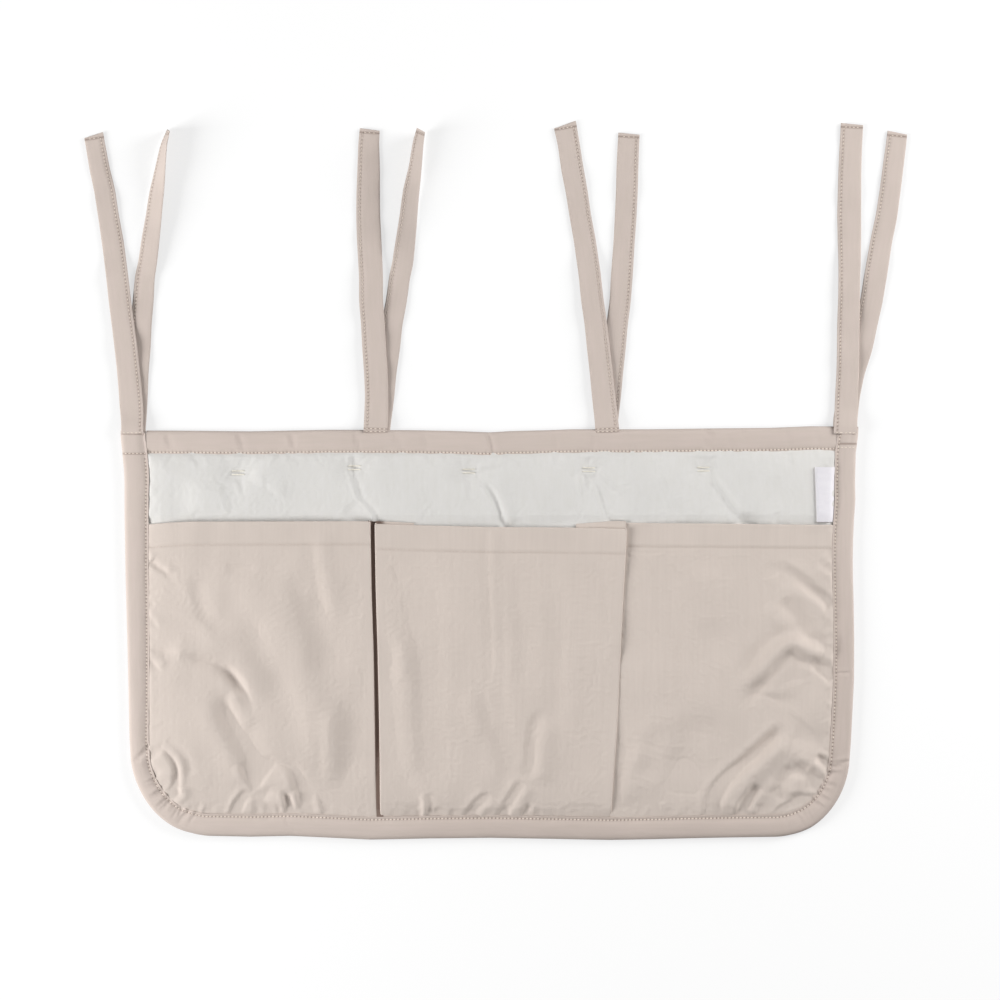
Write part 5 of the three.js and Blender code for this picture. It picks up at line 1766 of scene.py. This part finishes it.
# Each tie's middle line, read off the photograph in its pixels: (y, x, width, twist in degrees)
tieLines = {
    "tie_1_front": [
        (434, 132.4, 22.3, 0), (425, 132.4, 22.1, 0), (415.6, 132, 22.9, 0), (405, 131.1, 23.7, 0),
        (396, 130.5, 23.4, 0), (372, 128.3, 23, 0), (348, 125.8, 22.8, 0), (324, 122.6, 22.6, 0),
        (300, 119.5, 22.4, 0), (276, 117, 22.2, 0), (240, 112, 22, 0), (216, 108, 20.8, 0),
        (192, 104.5, 21, 0), (168, 99, 20.3, 0), (144, 94.8, 19.6, 0), (134.5, 93, 19.6, 0),
    ],
    "tie_1_rear": [
        (430, 134.4, 22, 0), (420, 135, 22, 0), (396, 136.2, 22, 0), (372, 137.4, 21.5, 0),
        (348, 139.4, 21.5, 0), (324, 140.6, 21.2, 0), (300, 142.8, 21, 0), (276, 144.5, 20, 4),
        (264, 147, 20, 14), (240, 150.2, 20, 20), (216, 153.9, 20, 32), (192, 156.6, 20, 38),
        (168, 160.5, 20, 54), (144, 164.5, 20, 67), (130.5, 169, 20, 76),
    ],
    "tie_2_front": [
        (430, 375.5, 24, 0), (420, 376, 24, 0), (396, 376.6, 23.6, 0), (372, 375.8, 23.6, 0),
        (348, 374, 23.8, 0), (324, 372.8, 23.8, 0), (300, 371, 24, 0), (276, 371, 24, 0),
        (240, 369, 24.6, 0), (216, 368, 24, 0), (192, 368, 23.6, 0), (168, 368.5, 22.6, 0),
        (144, 368.5, 21, 0), (128.8, 369.6, 20, 0),
    ],
    "tie_2_rear": [
        (430, 379, 22, 0), (420, 380.2, 22, 0), (396, 383.2, 22, 0), (372, 385.6, 21.6, 0),
        (348, 389.2, 21.4, 0), (324, 391.8, 21, 0), (300, 396.4, 21, 0), (276, 399.5, 21, 0),
        (264, 402.5, 21, -4), (240, 405.5, 21, -22), (216, 408.6, 21, -34), (192, 411.2, 21, -40),
        (168, 415, 21, -54), (144, 418.2, 21, -61), (130.5, 421.4, 21, -68),
    ],
    "tie_3_front": [
        (430, 607.3, 24, 0), (420, 606.5, 23.6, 0), (396, 603.7, 23.4, 0), (372, 601.3, 23, 0),
        (348, 598.4, 22.8, 0), (324, 596, 22.6, 0), (300, 592.5, 22.6, 0), (276, 590, 22.2, 0),
        (240, 585, 22, 0), (216, 580.5, 21.6, 0), (192, 577, 22, 0), (168, 572.5, 22.4, 0),
        (144, 569, 22, 0), (124, 565, 23, 0),
    ],
    "tie_3_rear": [
        (430, 606.8, 22, 0), (420, 607.4, 22, 0), (396, 610.2, 22, 0), (372, 612.4, 21.8, 0),
        (348, 615.2, 21.6, 0), (324, 617.4, 21.4, 0), (300, 620.5, 21.2, 0), (276, 622, 21.8, 0),
        (240, 624.5, 21.2, 0), (216, 626, 21.8, 0), (192, 627, 21.8, 0), (168, 627.6, 22, 0),
        (144, 628.6, 21.6, 0), (133, 629.2, 21.4, 0),
    ],
    "tie_4_front": [
        (430, 845.6, 23.6, 0), (420, 845.9, 23.1, 0), (396, 846.8, 23, 0), (372, 848, 22.6, 0),
        (348, 848.4, 22.4, 0), (324, 848.6, 22.4, 0), (300, 849.4, 22, 0), (276, 849.6, 21.8, 0),
        (264, 850, 22.4, 0), (240, 850, 23.6, 0), (216, 849.7, 24, 0), (192, 850, 23.6, 0),
        (168, 850.5, 23, 0), (144, 851.5, 22.6, 0), (123.5, 852.6, 22.4, 0),
    ],
    "tie_4_rear": [
        (430, 845.3, 24, 0), (420, 845.7, 24.3, 0), (396, 849.2, 22.6, 0), (372, 854, 22.4, 0),
        (348, 861.8, 22.4, 0), (324, 867, 22.2, 0), (300, 872.2, 22.4, 0), (276, 876, 22.8, 0),
        (240, 882, 21.8, 0), (216, 887, 21.6, 0), (192, 890.5, 21, 0), (168, 893.6, 20.8, 0),
        (144, 896.6, 20.4, 0), (132, 898, 20, 0),
    ],
}
# Side of each tie that is stitched, seen from its base: 1 is right and -1 left
stitchedSide = {
    "tie_1_front": 1,
    "tie_1_rear": -1,
    "tie_2_front": -1,
    "tie_2_rear": -1,
    "tie_3_front": 1,
    "tie_3_rear": 1,
    "tie_4_front": -1,
    "tie_4_rear": -1,
}


def tieRow(py, px, width, twist):
    x, y = placed(px, py)
    return y, x, round(width * photo["pixel"], photo["digits"]), twist


def smoothed(values, times):
    for _ in range(times):
        inner = 0.25 * values[:-2] + 0.5 * values[1:-1] + 0.25 * values[2:]
        values = np.concatenate([values[:1], inner, values[-1:]])
    return values


# Section of a tie, a flat doubled tape: shares of the half width and of the thickness
topU = np.array([-1, -0.985, -0.93, -0.84, -0.7, -0.55, -0.3, 0, 0.3, 0.55, 0.7, 0.84, 0.93, 0.985, 1])
profile = np.sqrt(np.clip(1 - np.abs(topU) ** 9, 0, 1)) * 0.5
sectionU = np.concatenate([topU, topU[-2:0:-1]])
sectionV = np.concatenate([profile, -profile[-2:0:-1]])
for k, (name, rows) in enumerate(tieLines.items()):
    number, isFront, isCorner = int(name[4]), name.endswith("front"), name[4] in "14"
    place = "corner" if isCorner else "inner"
    kind = place + ("Front" if isFront else "Rear")
    table = np.array([tieRow(*row) for row in rows], float)
    startY = tie["startY"][kind]
    y = np.concatenate(
        [spaced(startY, table[-1, 0] - 1.2, tie["station"]), table[-1, 0] - np.array([0.7, 0.3, 0])]
    )
    x = smoothed(np.interp(y, table[:, 0], table[:, 1]), 30)
    width = smoothed(np.interp(y, table[:, 0], table[:, 2]), 10)
    twist = np.radians(smoothed(np.interp(y, table[:, 0], table[:, 3]), 10))
    random = np.random.default_rng(130 + k)
    s = y - 166
    thick = tie["thickness"]
    if isFront and isCorner:  # it comes out of the side tape without a step
        thick = thick * (0.3 + 0.7 * smooth((s + 2.8) / 7))
    onFloor = 0.1 + tie["thickness"] / 2
    short = np.sin(s / random.uniform(5.2, 7.5) + random.uniform(0, 6))
    wave = tie["ripple"] * (1 + short * np.sin(s / random.uniform(17, 26) + 1))
    wave = wave * smooth((s - 14) / 30) * (1 - 0.5 * smooth((s - 200) / 60))
    seat = tie["seat"][kind]
    thick = np.broadcast_to(thick, y.shape)[:, None]
    together = 1 - smooth((s - tie["split"]) / tie["settle"])
    overRear = (tie["thickness"] + 0.25) * together if isFront else 0
    rest = onFloor + overRear + wave + (0.8 if isFront else 0) * together
    fall = smooth((s + 1) / (tie["slope"] + (3 if isFront else 0)))
    z = seat + (rest - seat) * fall + 0.5 * width * np.abs(np.sin(twist))
    forward = unit(np.column_stack([np.gradient(x), np.gradient(y), np.gradient(z)]))
    side = unit(np.cross(forward, up))
    raised = np.cross(side, forward)
    c, sn = np.cos(twist)[:, None], np.sin(twist)[:, None]
    across, out = side * c + raised * sn, raised * c - side * sn
    stitchSide = stitchedSide[name]
    halfW = 0.5 * width[:, None]
    middle = np.column_stack([x, y, z])
    fromStitch = sectionU * halfW - stitchSide * (halfW - tie["stitchFromEdge"])
    groove = 0.3 * np.exp(-((fromStitch / 0.9) ** 2)) + 0.12 * (fromStitch * stitchSide > 0)
    fromTip = (y[-1] - y)[:, None]
    tipGroove = 0.3 * np.exp(-(((fromTip - tie["stitchFromEdge"]) / 0.9) ** 2))
    thin = np.sqrt(np.clip(1 - (1 - np.clip(fromTip / 1.0, 0, 1)) ** 2, 0.04, 1))
    body = (
        np.sign(sectionV) * np.maximum(np.abs(sectionV) * thick - groove - tipGroove, 0.12 * thick) * thin
    )
    body = np.where(np.abs(sectionV) < 0.02, 0, body)
    edgeWave = 0.25 * np.sin(s / 9.0 + k)[:, None] * np.abs(sectionU) ** 3
    points = middle[:, None] + across[:, None] * (sectionU * halfW)[..., None]
    points = points + out[:, None] * (body + edgeWave)[..., None]
    points[..., 2] = np.maximum(points[..., 2], 0.05)
    run = np.concatenate([[0], np.cumsum(np.abs(np.diff(sectionU)) * 9.4 + 0.01)])
    flat = np.dstack(np.broadcast_arrays(run[None, :], y[:, None]))
    ring = np.concatenate([points, points[:, :1]], 1)
    flat = np.concatenate([flat, flat[:, -1:] + [0.3, 0]], 1)
    rootRow = int(np.argmax(y >= tie["root"][1])) if isFront else 0
    pieceName = name.replace("_", "").replace("front", "Front").replace("rear", "Rear")
    piece = gridPiece(pieceName, ring[rootRow:], flat[rootRow:], closed=True)
    # Painted shade of the needle holes and stitch grooves along the edge, across the tip and across the
    # foot
    paintedShadeMarks = stitchShadeValues(middle, fromStitch) * (fromTip > 1.5)
    paintedShadeMarks = np.maximum(paintedShadeMarks, 0.55 * np.exp(-(((fromTip - tie["stitchFromEdge"]) / 0.8) ** 2)))
    if isFront and not isCorner:
        for atY in tie["baseLines"][place]:
            paintedShadeMarks = np.maximum(paintedShadeMarks, 0.55 * np.exp(-(((y[:, None] - atY) / 0.6) ** 2)))
    setPaintedShade(piece, points[rootRow:], paintedShadeMarks[rootRow:])
    dress(piece, tapeCotton)
    if isFront:  # its sewn end is a piece of its own
        root = gridPiece(pieceName + "Root", ring[: rootRow + 1], flat[: rootRow + 1], closed=True)
        setPaintedShade(root, points[: rootRow + 1], paintedShadeMarks[: rootRow + 1])
        dress(root, tapeCotton)
    # Stitch lines: along one edge, across the tip and across the foot
    lineU = (stitchSide * (halfW[:, 0] - tie["stitchFromEdge"]))[:, None]
    lastRow = np.abs(y - (y[-1] - tie["stitchFromEdge"])).argmin()
    faceLift = 0.5 * thick - 0.22
    endLift = float(faceLift[-1, 0])
    if isFront and isCorner:
        faceLift = 0.5 * thick - 0.22 * smooth((s + 2.8) / 7)[:, None]
    stitched = slice(rootRow + 1 if isFront else 4, lastRow + 1)
    runs = []
    for sign, seed in ((1, 140 + k), (-1, 150 + k)):
        longLine = middle + across * lineU + sign * out * faceLift
        runs.append(stitchesAlong(longLine[stitched], sign * out[stitched], seed, scale=0.85))
    tipU = np.linspace(-1, 1, 12)[:, None] * (halfW[lastRow] - tie["stitchFromEdge"])
    for sign in (1, -1):
        tipLine = middle[lastRow] + across[lastRow] * tipU + sign * out[lastRow] * endLift
        runs.append(stitchesAlong(tipLine, sign * out[lastRow], 160 + k, scale=0.85))
    if isFront:
        rootRuns = []
        for atY in tie["baseLines"][place]:
            row = np.abs(y - atY).argmin()
            baseU = np.linspace(-1, 1, 12)[:, None] * (halfW[row] - 0.8)
            baseLine = middle[row] + across[row] * baseU + out[row] * (0.5 * float(thick[row, 0]))
            rootRuns.append(stitchesAlong(baseLine, out[row], 170 + k))
    thread = threadPiece(piece.name + "Thread", runs, creamThread)
    if isFront:
        rootThread = threadPiece(piece.name + "RootThread", rootRuns, creamThread)
        for part in (root, rootThread):
            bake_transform(part)
    for part in (piece, thread):
        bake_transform(part)
    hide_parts(name)
print("ties ready")

# Bounds of the pieces

low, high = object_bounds()
